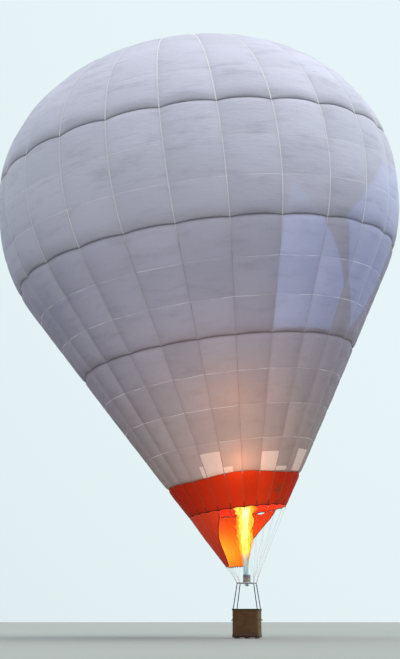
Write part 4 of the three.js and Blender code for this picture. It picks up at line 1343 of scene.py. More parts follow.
def drilled_plate(name, radius, hole, tail, thick, finish, matrix):
    """A round-ended plate with a hole at the origin, thin along X, whose tail runs down."""
    shape = bmesh.new()
    count = 32
    sweep = [-pi / 2 + 2 * pi * i / count for i in range(count)]
    outer = [(radius * cos(a), radius * sin(a)) for a in sweep]
    outer = [(x, y if y >= -1e-6 else -tail) for x, y in outer]
    inner = [(hole * cos(a), hole * sin(a)) for a in sweep]
    layers = []
    for side in (-thick / 2, thick / 2):
        layers.append([shape.verts.new((side, x, y)) for x, y in outer])
        layers.append([shape.verts.new((side, x, y)) for x, y in inner])
    for i in range(count):
        k = (i + 1) % count
        for near, far in ((0, 1), (3, 2), (2, 0), (1, 3)):
            shape.faces.new((layers[near][i], layers[near][k], layers[far][k], layers[far][i]))
    bmesh.ops.recalc_face_normals(shape, faces=shape.faces)
    piece = piece_from(shape, name, finish)
    piece.data.transform(matrix)
    return piece


print("a weld of radius 0.02 has", int(2 * pi * 0.02 / 0.006), "lumps")

# %% [markdown]
# ## The frame and what is welded to it
# The lugs lean along the pull of their six wires, because a flat lug would bend if it were pulled
# sideways. The stubs point down along the uprights. All are made where they sit and joined as one piece.

# %% Frame, lugs, stubs and pivot blocks
PIVOT_BLOCK = (0.044, 0.044, 0.044)
UPRIGHT_FOOT = 1.1
def upright_point(corner, height):
    side_x, side_y = corner["side"]
    inset = (0.12 - 0.015) * (1 - sqrt(0.5))
    foot = Vector((side_x * (0.485 - inset), side_y * (0.585 - inset), UPRIGHT_FOOT))
    return foot.lerp(corner["corner"], (height - UPRIGHT_FOOT) / (FRAME_UP - UPRIGHT_FOOT))


def loop_tube(name, width, depth, corner, radius, sides=20):
    path = rounded(width, depth, corner, FRAME_UP)
    return carried_along(name, [path], round_path, stainless, closed=True, Width=2 * radius, Sides=sides)


frame_parts = [loop_tube("tube", 2 * FRAME_SIDE[0], 2 * FRAME_SIDE[1], FRAME_BEND, 0.019)]
for corner in corners.values():
    eye = corner["corner"] + corner["pull"] * LUG_RISE
    matrix = pointing(eye, corner["pull"], corner["across"])
    frame_parts.append(drilled_plate("lug", 0.0155, 0.0075, LUG_RISE - 0.006, 0.008, forged_steel, matrix))
    low = upright_point(corner, FRAME_UP - 0.05)
    frame_parts.append(rod("stub", low, corner["corner"] - Vector((0, 0, 0.004)), 0.02, stainless, 20))
    frame_parts.append(weld("weld", corner["corner"] - Vector((0, 0, 0.0185)), (0, 0, 1), 0.021))
    frame_parts.append(weld("weld", corner["corner"] + corner["pull"] * 0.019, corner["pull"], 0.011, 0.003))
for side in (-1, 1):
    frame_parts.append(block("pivot", PIVOT_BLOCK, (side * FRAME_SIDE[0], 0, FRAME_UP), 0.004, alloy))
    for across in (-1, 1):
        frame_parts.append(weld("weld", (side * FRAME_SIDE[0], across * 0.0225, FRAME_UP), (0, 1, 0), 0.0195))
welded_frame = joined("burner_frame_welded", *frame_parts)
fit(welded_frame, "balloon", "frame_tube", "burner_frame")

# %% [markdown]
# ## Gimbal ring and beam
# The gimbal ring turns about two pins in the frame, and the burner's beam turns about two more in the
# ring, so the flame can be aimed. Each is a separate body, and its pieces are laid where it is at rest.

# %% Gimbal ring with pins, washers and split pins
def pin_and_washer(along, start, end, washer):
    """A pin out through a pivot block, with a washer on it; `along` is the signed direction."""
    axis = Vector(along)
    middle = Vector((0, 0, FRAME_UP))
    return [
        rod("pin", middle + axis * start, middle + axis * end, 0.01, forged_steel),
        rod("washer", middle + axis * washer, middle + axis * (washer + 0.0035), 0.017, brass)]


gimbal_parts = [loop_tube("tube", 0.51, 0.74, 0.045, 0.014, 16)]
gimbal_pin_end = abs(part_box("gimbal_ring")[1].x - PIVOT.x)
for side in (-1, 1):
    gimbal_parts += pin_and_washer((side, 0, 0), 0.252, gimbal_pin_end, 0.303)
    gimbal_parts.append(weld("weld", (side * 0.2685, 0, FRAME_UP), (1, 0, 0), 0.0105, 0.003))
    gimbal_parts.append(block("pivot", PIVOT_BLOCK, (0, side * 0.37, FRAME_UP), 0.004, alloy))
    for across in (-1, 1):
        gimbal_parts.append(weld("weld", (across * 0.0225, side * 0.37, FRAME_UP), (1, 0, 0), 0.0145, 0.003))
welded_ring = joined("gimbal_ring_welded", *gimbal_parts)
fit(welded_ring, "gimbal", "frame_tube", "gimbal_ring")

# %% [markdown]
# ## Twin burner
# Each burner has a can that shields the flame, a coil in which the liquid gas is heated until it boils,
# and a ring of jets. Under each stands a valve body with a blast lever, a tap, a pressure gauge and a
# pilot light. Heat leaves bands of colour on the steel of the can, so its finish reads the height.

# %% Finishes of the burner
hot_steel = metal("heat_tinted_can", (0.62, 0.62, 0.63), 0.32, (8, 8, 60), tint_from=PIVOT.z + 0.06)
hot_coil = metal(
    "heat_tinted_coil", (0.5, 0.42, 0.33), 0.4, (8, 8, 60), (0.12, 0.1, 0.1), 0.3, tint_from=PIVOT.z - 0.06)


def moulded(name, colour, roughness=0.5, worn=0.35):
    finish, tree, shader = new_finish(name)
    place = place_in(tree)
    grain = noise(place, 90.0, 2.0)
    patch = noise(place, 14.0, 4.0)
    shade = blended(tree, eased(patch, 0.45, 0.75) * worn, colour, [c * 0.55 + 0.02 for c in colour])
    rough = grain * 0.2 + patch * 0.15 + (roughness - 0.15)
    plug(tree, shader, Base_Color=shade, Roughness=rough, Normal=bump(grain, 0.0004, 0.4))
    return finish


red_rubber = moulded("red_rubber", (0.42, 0.02, 0.02))
blue_knob = moulded("blue_knob", (0.02, 0.09, 0.35), 0.4)
white_dial = moulded("white_dial", (0.8, 0.8, 0.78), 0.35, 0.1)
print("burner finishes ready")

# %% [markdown]
# ## Cans and coils
# The can is rolled from sheet, with a rolled lip. Air comes in through two rows of slots near its foot,
# which are left out of its net before it gets its thickness. The coil is a tube wound eleven times.

# %% Cans with air slots, and coils
BURNER_SIDE = 0.165
CAN_RADIUS = 0.124
COIL_RADIUS = 0.1045
COIL_TURNS = 11
CAN_FOOT = FRAME_UP + 0.0283
CAN_TOP = CAN_FOOT + 0.292


def slotted_can(y):
    """A rolled sheet with air slots left out near its foot, given its thickness afterwards."""
    around = 96
    heights = [0.0, 0.018, 0.034, 0.05, 0.066, 0.09, 0.15, 0.21, 0.262, 0.274]
    points = [
        (CAN_RADIUS * cos(a), y + CAN_RADIUS * sin(a), CAN_FOOT + h)
        for h in heights for a in full_turn(around)]
    faces = []
    for number, face in enumerate(tube_faces(len(heights), around)):
        row, column = divmod(number, around)
        slot = (row == 1 and column % 4 < 2) or (row == 3 and column % 4 > 1)
        if not slot:
            faces.append(face)
    wall = new_piece("can_wall", points, faces=faces)
    solid = wall.modifiers.new("thickness", "SOLIDIFY")
    solid.thickness = 0.0035
    solid.offset = 0
    plain_mesh(wall).data.materials.append(hot_steel)
    lip = [(0.1218, -0.0185), (0.1258, -0.0185), (0.1262, -0.006), (0.1245, -0.001),
           (0.1225, 0.0), (0.1205, -0.002), (0.1205, -0.014)]
    lip = [(radius, CAN_TOP + down) for radius, down in lip]
    foot = [(0.1215, CAN_FOOT), (0.1262, CAN_FOOT), (0.1262, CAN_FOOT + 0.008), (0.1215, CAN_FOOT + 0.008)]
    move = Matrix.Translation((0, y, 0))
    return [wall, turned("lip", lip, 48, hot_steel, move), turned("foot", foot, 48, hot_steel, move)]


def coil(y):
    count = COIL_TURNS * 28
    angles = np.linspace(0, 2 * pi * COIL_TURNS, count)
    rise = np.linspace(0.012, 0.252, count)
    path = np.stack([COIL_RADIUS * np.cos(angles), y + COIL_RADIUS * np.sin(angles), CAN_FOOT + rise], -1)
    start = [(COIL_RADIUS, y, CAN_FOOT + 0.004)]
    last = path[-1]
    inward = [
        (last[0] * 0.86, y + (last[1] - y) * 0.86, last[2] + 0.001),
        (last[0] * 0.8, y, last[2] - 0.03),
        (last[0] * 0.8, y, CAN_FOOT + 0.02)]
    whole = np.concatenate([start, path, inward])
    return carried_along("tube", [whole], round_path, hot_coil, Width=0.0125, Sides=10)


for name, side in (("front", -1), ("rear", 1)):
    y = side * BURNER_SIDE
    can = joined("can_" + name, *slotted_can(y))
    fit(can, "burner", "burner_can", "burner_can_" + name)
    wound_coil = joined("coil_" + name, coil(y))
    fit(wound_coil, "burner", "burner_coil", "burner_coil_" + name)

# %% [markdown]
# ## Jets, valves, taps and gauges
# The burner's beam lies between two pins. On it stand two trays, each with a ring of sixteen jets, a feed
# pipe and a pilot light, and under it hang two valve bodies with ports, a tap, a gauge and four screws.

# %% Burner block with its fittings
JET_RING = 0.055
parts = [block("beam", (0.04, 0.62, 0.04), (0, 0, FRAME_UP), 0.003, stainless)]
jet_line = [(0, 0), (0.006, 0), (0.006, 0.008), (0.0035, 0.012)]
jet_line += [(0.0035, 0.02), (0.0016, 0.02), (0.0016, 0.012), (0, 0.012)]
jet = turned("jet", jet_line, 10)
jet_places = []
tray = [(0, 0.016), (0.128, 0.0185), (0.13, 0.0215), (0.13, 0.026), (0.127, 0.028), (0, 0.028)]
knob_line = [(0, 0), (0.016, 0), (0.019, 0.004), (0.019, 0.013), (0.015, 0.017), (0, 0.018)]
gauge_line = [(0, 0), (0.022, 0), (0.024, 0.003), (0.024, 0.014), (0.021, 0.016), (0.021, 0.012), (0, 0.012)]
dial_line = [(0, 0.0121), (0.0205, 0.0121), (0.0205, 0.0135), (0, 0.0135)]
pilot_line = [(0, 0), (0.011, 0), (0.011, 0.03), (0.0095, 0.034), (0.008, 0.03), (0.008, 0.004), (0, 0.004)]
block_pin_end = abs(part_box("burner_block")[1].y - PIVOT.y)
for side in (-1, 1):
    y = side * BURNER_SIDE
    parts += pin_and_washer((0, side, 0), 0.305, block_pin_end, 0.3425)
    hub = Vector((0, y, FRAME_UP - 0.075))
    knob = pointing(hub + Vector((0.05, 0, 0)), (1, 0, 0))
    gauge = pointing(hub - Vector((0.05, 0, 0)), (-1, 0, 0))
    ring = [(JET_RING * cos(a), y + JET_RING * sin(a), CAN_FOOT + 0.016) for a in full_turn(32)]
    feed = [(0, y, FRAME_UP + 0.02), (0, y, CAN_FOOT + 0.012)]
    feed += [(0.028, y, CAN_FOOT + 0.016), (JET_RING, y, CAN_FOOT + 0.016)]
    parts += [
        turned("tray", tray, 48, stainless, Matrix.Translation((0, y, FRAME_UP))),
        block("valve", (0.058, 0.058, 0.088), (0, y, FRAME_UP - 0.065), 0.005, alloy),
        turned("knob", knob_line, 14, blue_knob, knob),
        turned("gauge", gauge_line, 24, brass, gauge),
        turned("dial", dial_line, 24, white_dial, gauge),
        carried_along("jet_ring", [ring], round_path, hot_coil, closed=True, Width=0.014, Sides=10),
        carried_along("feed", [feed], round_path, hot_coil, Width=0.012, Sides=10),
        turned("pilot", pilot_line, 14, brass, Matrix.Translation((-0.03, y, CAN_FOOT + 0.0005)))]
    for across in (-1, 1):
        start = hub + Vector((across * 0.028, 0, 0))
        parts.append(rod("port", start, start + Vector((across * 0.022, 0, 0)), 0.013, brass, 6))
    for a in full_turn(16):
        place = (JET_RING * cos(a), y + JET_RING * sin(a), CAN_FOOT + 0.021)
        jet_places.append(Matrix.Translation(place))
    for dx, dy in ((0.018, 0.018), (-0.018, 0.018), (0.018, -0.018), (-0.018, -0.018)):
        top = Vector((dx, y + dy, FRAME_UP - 0.1075))
        parts.append(rod("screw", top, top - Vector((0, 0, 0.003)), 0.0045, forged_steel, 10))
parts.append(set_down("jets", jet, jet_places, brass))
whole_block = joined("burner_block_with_valves", *parts)
fit(whole_block, "burner", "burner_block", "burner_block")

# %% [markdown]
# ## Blast levers
# Each valve opens with a flat lever under it. Its ribbed rubber grip is a turned part with many rings.

# %% Levers with ribbed grips
grip_line = [(0, 0), (0.0065, 0.0)]
for i in range(10):
    grip_line += [(0.0078, 0.002 + 0.009 * i), (0.0078, 0.008 + 0.009 * i), (0.0066, 0.009 + 0.009 * i)]
grip_line += [(0.0055, 0.094), (0, 0.095)]
for name, side in (("front", -1), ("rear", 1)):
    near = side * (BURNER_SIDE + 0.029)
    far = side * (BURNER_SIDE - 0.119)
    middle = (0, (near + far) / 2, FRAME_UP - 0.1155)
    lever = block("lever", (0.012, 0.148, 0.006), middle, 0.0015, forged_steel)
    low = FRAME_UP - 0.1185
    grip = turned("grip", grip_line, 16, red_rubber, pointing((0, far + side * 0.0975, low), (0, -side, 0)))
    pieces = joined("blast_lever_" + name, lever, grip)
    fit(pieces, "burner", "handle_grip", "blast_handle_" + name)

# %% [markdown]
# ## Hide, wicker, wood and rope
# A basket is woven from willow and cane, edged with hide, and stands on ash runners. Every finish here is
# made of the same few noises. Cane has long fibres along each strand and darker knots, hide has pores and
# scuffed high places, and wood has rings stretched along the grain.

# %% Finishes of the basket
def fibrous(name, light, dark, along=(3, 3, 60), rough=0.55, depth=0.0012, scale=7.0):
    finish, tree, shader = new_finish(name, Specular_IOR_Level=0.35)
    place = place_in(tree)
    fibres = noise(scaled(place, along), scale, 4.0, 0.65)
    patch = noise(place, 4.0, 4.0)
    knots = eased(noise(place, 22.0, 2.0), 0.62, 0.72)
    shade = blended(tree, eased(fibres, 0.3, 0.7), dark, light)
    shade = blended(tree, eased(patch, 0.4, 0.7) * 0.35, shade, [c * 0.55 for c in dark])
    shade = blended(tree, knots * 0.5, shade, [c * 0.4 for c in dark])
    rough = fibres * 0.25 + (rough - 0.1)
    plug(tree, shader, Base_Color=shade, Roughness=rough, Normal=bump(fibres, depth, 0.6))
    return finish


def hide(name, colour, scuff):
    finish, tree, shader = new_finish(name, Specular_IOR_Level=0.4)
    place = place_in(tree)
    feeds = {"Vector": place, "Scale": 160.0}
    cells = Thread.node(tree, "ShaderNodeTexVoronoi", {"feature": "DISTANCE_TO_EDGE"}, feeds, "Distance")
    pores = eased(cells, 0.0, 0.12)
    patch = noise(place, 7.0, 5.0, 0.65)
    scuffs = noise(scaled(place, (30, 30, 55)), 1.0, 4.0, 0.7)
    shade = blended(tree, eased(patch, 0.35, 0.7) * 0.6, colour, [c * 0.5 for c in colour])
    shade = blended(tree, eased(scuffs, 0.56, 0.72) * 0.45, shade, scuff)
    rough = patch * 0.3 + (1 - pores) * 0.15 + 0.38
    grained = bump(pores, 0.0007, 0.5, bump(patch, 0.006, 0.5))
    plug(tree, shader, Base_Color=shade, Roughness=rough, Normal=grained)
    return finish


wicker = fibrous("willow_weave", (0.36, 0.19, 0.075), (0.15, 0.07, 0.028), (9, 9, 90), 0.5, 0.0008)
stake_cane = fibrous("cane_stake", (0.42, 0.25, 0.11), (0.22, 0.11, 0.045), (60, 60, 4), 0.5, 0.0008)
ash = fibrous("ash_runner", (0.40, 0.26, 0.14), (0.20, 0.115, 0.055), (22, 1.6, 22), 0.6, 0.001)
board = fibrous("floor_board", (0.33, 0.22, 0.12), (0.19, 0.115, 0.06), (26, 1.8, 26), 0.55, 0.0008)
rim_hide = hide("rim_hide", (0.045, 0.026, 0.018), (0.16, 0.10, 0.07))
base_hide = hide("base_hide", (0.10, 0.052, 0.03), (0.24, 0.15, 0.09))
sleeve_cloth = hide("sleeve_cover", (0.022, 0.022, 0.025), (0.08, 0.08, 0.085))
hemp = fibrous("hemp_rope", (0.46, 0.35, 0.20), (0.25, 0.17, 0.09), (50, 50, 50), 0.75, 0.001)
waxed_thread = moulded("waxed_thread", (0.55, 0.42, 0.26), 0.6)
strap_webbing = webbing("strap_webbing", (0.05, 0.05, 0.055))
print("basket finishes ready")

# %% [markdown]
# ## The woven wall
# Sixty upright stakes stand round the basket, and the willow runs in front of one and behind the next. The
# next row does the opposite. Each row is one strand carried along a waved path, so the whole weave is one
# recipe over many paths. Rows that meet a foothold stop at its frame.

# %% Weave of willow round sixty stakes
STAKES = 60
STEPS = 3
ROW_RISE = 0.0115
WEAVE_FOOT = 0.0425
WEAVE_TOP = 1.045
WALL_MIDDLE = 0.015
OUTSIDE = (1.0, 1.2, 0.12)
FOOTHOLD = (0.36, 0.47)


def wall_path(inset, count):
    """Evenly spaced places and outward directions round the basket, a distance in from its outer face."""
    line = rounded(OUTSIDE[0] - 2 * inset, OUTSIDE[1] - 2 * inset, OUTSIDE[2] - inset, 0.0, 16)[:, :2]
    loop = np.vstack([line, line[:1]])
    length = np.concatenate([[0], np.cumsum(np.hypot(*np.diff(loop, axis=0).T))])
    at = np.linspace(0, length[-1], count, endpoint=False)
    path = np.stack([np.interp(at, length, loop[:, 0]), np.interp(at, length, loop[:, 1])], -1)
    ahead = np.roll(path, -1, axis=0) - np.roll(path, 1, axis=0)
    ahead /= np.linalg.norm(ahead, axis=1)[:, None]
    return path, np.stack([ahead[:, 1], -ahead[:, 0]], -1)


middle, outwards = wall_path(WALL_MIDDLE, STAKES * STEPS)
swing = np.cos(np.pi * np.arange(STAKES * STEPS) / STEPS)
dice = random.Random(5)
rows = []
row_girths = []
height = WEAVE_FOOT
row_number = 0
while height < WEAVE_TOP:
    lift = 0.0012 * np.sin(np.arange(STAKES * STEPS) * 0.37 + dice.random() * 6)
    side = (-1) ** row_number * 0.0077
    strand = middle + outwards * (swing * side)[:, None]
    strand = np.column_stack([strand, height + lift])
    girth = np.full(STAKES * STEPS, dice.uniform(0.9, 1.08))
    if FOOTHOLD[0] - 0.006 < height < FOOTHOLD[1] + 0.006:
        free = ~((np.abs(strand[:, 1]) < 0.092) & (np.abs(strand[:, 0]) > 0.4))
        start = int(np.argmin(free))
        order = np.roll(np.arange(len(strand)), -start)
        run = []
        for i in [*order, start]:
            if free[i]:
                run.append(i)
            elif run:
                rows.append(strand[run])
                row_girths.append(girth[run])
                run = []
    else:
        rows.append(np.vstack([strand, strand[:1]]))
        row_girths.append(np.append(girth, girth[0]))
    height += ROW_RISE
    row_number += 1
weave = carried_along("weave", rows, round_path, wicker, girths=row_girths, Width=0.0133, Sides=5)

stake_paths = []
for x, y in middle[::STEPS]:
    spans = [(0.037, 1.049)]
    if abs(y) < 0.09 and abs(x) > 0.4:
        spans = [(0.037, FOOTHOLD[0]), (FOOTHOLD[1], 1.049)]
    stake_paths += [np.array([(x, y, low), (x, y, high)]) for low, high in spans]
stakes = carried_along("stakes", stake_paths, round_path, stake_cane, Width=0.011, Sides=7)
step_frames = []
for side in (-1, 1):
    loop = rounded(0.17, FOOTHOLD[1] - FOOTHOLD[0], 0.02, 0.0, 5)
    path = np.stack([np.full(len(loop), side * 0.485), loop[:, 0], loop[:, 1] + sum(FOOTHOLD) / 2], -1)
    for out in (-0.0085, 0.0085):
        step_frames.append(path + np.array((out, 0, 0)))
frames = carried_along("step_frames", step_frames, round_path, stake_cane, closed=True, Width=0.012, Sides=8)
wall = joined("woven_wall", weave, stakes, frames)
fit(wall, "balloon", "wicker", "basket_wickerwork")

# %% [markdown]
# ## The padded rim
# The rim is a foam pad in a sewn hide cover, laced down over the top of the weave. The cover is drawn in a
# little at each stitch, and the lacing goes over it every few centimetres, so both count the same places.

# %% Padded rim with lacing
RIM_HEIGHT = 1.075
rim_count = 480
rim_path, rim_out = wall_path(WALL_MIDDLE, rim_count)
section = []
for quarter, (sx, sz) in enumerate(((1, 1), (-1, 1), (-1, -1), (1, -1))):
    for a in np.linspace(0, pi / 2, 5):
        angle = quarter * pi / 2 + a
        section.append((sx * 0.0145 + 0.0165 * cos(angle), sz * 0.0075 + 0.0168 * sin(angle)))
section = np.array(section)
ring_points = []
for i in range(rim_count):
    pinch = 1 - 0.035 * cos(2 * pi * i / 8) ** 8
    for across, up in section:
        ring_points.append((*(rim_path[i] + rim_out[i] * across * pinch), RIM_HEIGHT + up * pinch))
rim = face_out(new_piece("rim_pad", ring_points, faces=tube_faces(rim_count, len(section), hoop=True)))
rim.data.materials.append(rim_hide)
fit(rim, "balloon", "rim_hide", "rim_padding")

lace_paths = []
for i in range(0, rim_count, 8):
    start = rim_path[i]
    ahead = rim_path[(i + 3) % rim_count]
    out, out_next = rim_out[i], rim_out[(i + 3) % rim_count]
    arc_turns = np.linspace(-0.35 * pi, 1.35 * pi, 14)
    line = []
    for t, a in zip(np.linspace(0, 1, 14), arc_turns):
        base = start * (1 - t) + ahead * t
        face = out * (1 - t) + out_next * t
        across = max(-1, min(1, 1.25 * cos(a))) * 0.0318
        up = max(-1, min(1, 1.25 * sin(a))) * 0.0252
        line.append((*(base + face * across), RIM_HEIGHT + up))
    lace_paths.append(np.array(line))
lacing = carried_along("rim_lacing", lace_paths, round_path, waxed_thread, Width=0.003, Sides=6)
fit(lacing, "balloon", "rim_hide")

# %% [markdown]
# ## Hide round the foot
# A basket is dragged along on landing, so hide covers the foot of the weave. Its edges are rolled over a
# cord, and two rows of brass rivets hold it. The rivets are set down at even distances round the basket.

# %% Base hide with rolled edges and rivets
HIDE_POINTS = 240
hide_path, hide_out = wall_path(-0.0033, HIDE_POINTS)
hide_facing = np.column_stack([hide_out, np.zeros(HIDE_POINTS)])
hide_line = np.column_stack([hide_path, np.full(HIDE_POINTS, 0.1103)])
band = carried_along(
    "band", [hide_line], flat_path, base_hide, closed=True, facings=[hide_facing],
    Width=0.149, Thickness=0.0052)
edge_path = wall_path(-0.0045, HIDE_POINTS)[0]
beads = [np.column_stack([edge_path, np.full(HIDE_POINTS, h)]) for h in (0.040, 0.180)]
edging = carried_along("edging", beads, round_path, rim_hide, closed=True, Width=0.008, Sides=8)
rivet_path, rivet_out = wall_path(-0.0062, 82)
rivet = turned("rivet", [(0, 0), (0.006, 0), (0.0055, 0.0012), (0.003, 0.0022), (0, 0.0025)], 10)
rivet_places = [pointing((*p, h), (*o, 0)) for h in (0.056, 0.165) for p, o in zip(rivet_path, rivet_out)]
rivets = set_down("rivets", rivet, rivet_places, brass)
riveted_hide = joined("base_hide_riveted", band, edging, rivets)
fit(riveted_hide, "balloon", "base_hide", "base_trim")

# %% [markdown]
# ## Floor and runners
# The floor is eight planks side by side, cut to the rounded corners, with their edges taken off. Three ash
# runners under it take the knocks, and bolts go through them from the side.

# %% Planks, and runners with bolts
PLANKS = 8
FLOOR_WIDE = 0.93825
FLOOR_LEFT = -0.469
FLOOR_REACH = 0.5694
FLOOR_BEND = 0.0894
PLANK_GAP = 0.0008


def floor_reach(x):
    """How far the floor reaches to the front at this place across it, with its rounded corners."""
    past = max(0.0, abs(x) - 0.38)
    return FLOOR_REACH - max(0.0, FLOOR_BEND - sqrt(max(0.0, FLOOR_BEND ** 2 - past ** 2)))


planks = []
for i in range(PLANKS):
    low_x = FLOOR_LEFT + i * FLOOR_WIDE / PLANKS + PLANK_GAP
    high_x = FLOOR_LEFT + (i + 1) * FLOOR_WIDE / PLANKS - PLANK_GAP
    low_y, high_y = floor_reach(low_x), floor_reach(high_x)
    shape = bmesh.new()
    plan = [(low_x, -low_y), (high_x, -high_y), (high_x, high_y), (low_x, low_y)]
    foot = [shape.verts.new((x, y, 0.0353)) for x, y in plan]
    head = [shape.verts.new((x, y, 0.0533)) for x, y in plan]
    shape.faces.new(foot[::-1])
    shape.faces.new(head)
    for j in range(4):
        shape.faces.new((foot[j], foot[(j + 1) % 4], head[(j + 1) % 4], head[j]))
    bmesh.ops.bevel(shape, geom=shape.edges, offset=0.0012, segments=2, profile=0.6, affect="EDGES")
    planks.append(piece_from(shape, "plank", board))
floor_planks = joined("floor_planks", *planks)
fit(floor_planks, "balloon", "floor_board", "basket_floor", smooth=False)

bolt_line = [(0, 0), (0.009, 0), (0.009, 0.0015), (0.0075, 0.003), (0, 0.0032)]
for name, x in (("left", -0.38), ("middle", 0.0), ("right", 0.38)):
    wood = block("wood", (0.06, 1.14, 0.0348), (x, 0, 0.0175), 0.006, ash)
    places = [
        pointing((x + side * 0.0302, y, 0.019), (side, 0, 0))
        for side in (-1, 1) for y in (-0.46, -0.15, 0.15, 0.46)]
    bolts = set_down("bolts", turned("bolt", bolt_line, 6), places, forged_steel)
    runner = joined("runner_bolted_" + name, wood, bolts)
    fit(runner, "balloon", "runner_wood", "runner_" + name)

# %% [markdown]
# ## Rope handles
# Four handles of three-strand rope go through the weave. A laid rope is three strands that wind round each
# other, so three round paths are wound about the line of the handle.

# %% Three-strand rope handles
HANDLE_RADIUS = 0.085
HANDLE_HEIGHT = 0.72
HANDLE_DROOP = radians(50)


def handle_line(side_x, y, steps=60):
    places = []
    for angle in np.linspace(-0.06 * pi, 1.06 * pi, steps):
        reach = sin(angle) * HANDLE_RADIUS
        x = side_x * (OUTSIDE[0] / 2 + reach * cos(HANDLE_DROOP))
        z = HANDLE_HEIGHT - reach * sin(HANDLE_DROOP)
        places.append(Vector((x, y + HANDLE_RADIUS * cos(angle), z)))
    return places


def wound(places, strands, offset, lay):
    """Strands that wind about a line; a whole turn takes the length `lay`."""
    paths = []
    for strand in range(strands):
        path = []
        gone = 0.0
        for i, place in enumerate(places):
            ahead = (places[min(i + 1, len(places) - 1)] - places[max(i - 1, 0)]).normalized()
            first = ahead.cross(Vector((0.3, 0.1, 1.0))).normalized()
            second = ahead.cross(first)
            turn = 2 * pi * (gone / lay + strand / strands)
            path.append(place + first * offset * cos(turn) + second * offset * sin(turn))
            if i + 1 < len(places):
                gone += (places[i + 1] - place).length
        paths.append(np.array(path))
    return paths


for name, corner in corners.items():
    side_x, side_y = corner["side"]
    strands = wound(handle_line(side_x, side_y * 0.33), 3, 0.0056, 0.045)
    rope = carried_along("laid_rope_" + name, strands, round_path, hemp, Width=0.0108, Sides=9)
    fit(rope, "balloon", "rope", "rope_handle_" + name)

# %% [markdown]
# ## Gas cylinders
# Four cylinders stand in the corners, strapped to the wall. Each is a welded shell with a foot ring and a
# collar round its valve, and straps with buckles hold it upright. Its outline is spun like any turned part.

# %% Cylinders with collars, valves and straps
shell_paint = metal("cylinder_shell", (0.58, 0.59, 0.6), 0.36, (6, 6, 60), (0.3, 0.28, 0.26), 0.2)
FLOOR_TOP = 0.0536
dome = [(0.085 * cos(a) + 0.06, 0.6 + 0.07 * sin(a)) for a in np.linspace(0, pi / 2, 9)]
shell_line = [(0, 0.03), (0.118, 0.03), (0.118, 0.0), (0.12, 0.0), (0.12, 0.042), (0.135, 0.056)]
shell_line += [(0.1425, 0.07), (0.1425, 0.318), (0.1446, 0.323), (0.1446, 0.329), (0.1425, 0.334)]
shell_line += [(r - 0.0015, h) for r, h in dome] + [(0.0, 0.67)]
collar_line = [(0.0432, 0.66), (0.045, 0.66), (0.045, 0.696), (0.0458, 0.699), (0.045, 0.7), (0.0432, 0.7)]
valve_line = [(0, 0.66), (0.014, 0.66), (0.014, 0.715), (0.011, 0.718), (0.011, 0.728)]
valve_line += [(0.021, 0.731), (0.022, 0.738), (0.022, 0.752), (0.02, 0.758), (0, 0.76)]
STRAP_HEIGHTS = (0.2, 0.47)


def straps_round(name, matrix, heights, radius, width, thick, count):
    """Flat straps round an upright part, at distances up it."""
    ring = [Vector((cos(a), sin(a), 0)) for a in full_turn(count)]
    outs = np.array([matrix.to_3x3() @ direction for direction in ring])
    paths = [
        np.array([matrix @ (direction * radius + Vector((0, 0, h))) for direction in ring])
        for h in heights]
    return carried_along(
        name, paths, flat_path, strap_webbing, closed=True, facings=[outs] * len(paths),
        Width=width, Thickness=thick)


buckle_path = rounded(0.034, 0.05, 0.006, 0.0, 4)
for name, corner in corners.items():
    side_x, side_y = corner["side"]
    place = Vector((side_x * 0.3, side_y * 0.4, FLOOR_TOP))
    move = Matrix.Translation(place)
    out = Vector((side_x, side_y, 0)).normalized()
    shell = turned("shell", shell_line, 40, shell_paint, move)
    collar = turned("collar", collar_line, 32, forged_steel, move)
    valve = turned("valve", valve_line, 16, brass, move)
    neck = place + Vector((0, 0, 0.69))
    port = rod("port", neck, neck - Vector((side_x * 0.034, 0, 0)), 0.009, brass, 12)
    bands = straps_round("bands", move, STRAP_HEIGHTS, 0.1442, 0.045, 0.0022, 48)
    buckles = []
    for h in STRAP_HEIGHTS:
        matrix = pointing(place - out * 0.1455 + Vector((0, 0, h)), -out, (0, 0, 1))
        loop = [matrix @ Vector(p) for p in buckle_path]
        buckles.append(carried_along("buckle", [loop], round_path, forged_steel, closed=True, Width=0.004))
    whole = joined("strapped_cylinder_" + name, shell, collar, valve, port, bands, *buckles)
    fit(whole, "balloon", "gas_cylinder", "gas_cylinder_" + name)

# %% [markdown]
# ## Padded uprights
# Four stiff rods hold the burner frame up while the envelope is slack. Each is inside a padded cover that
# closes with a flap and small straps. Beside it the covers hide the cables that carry the basket.

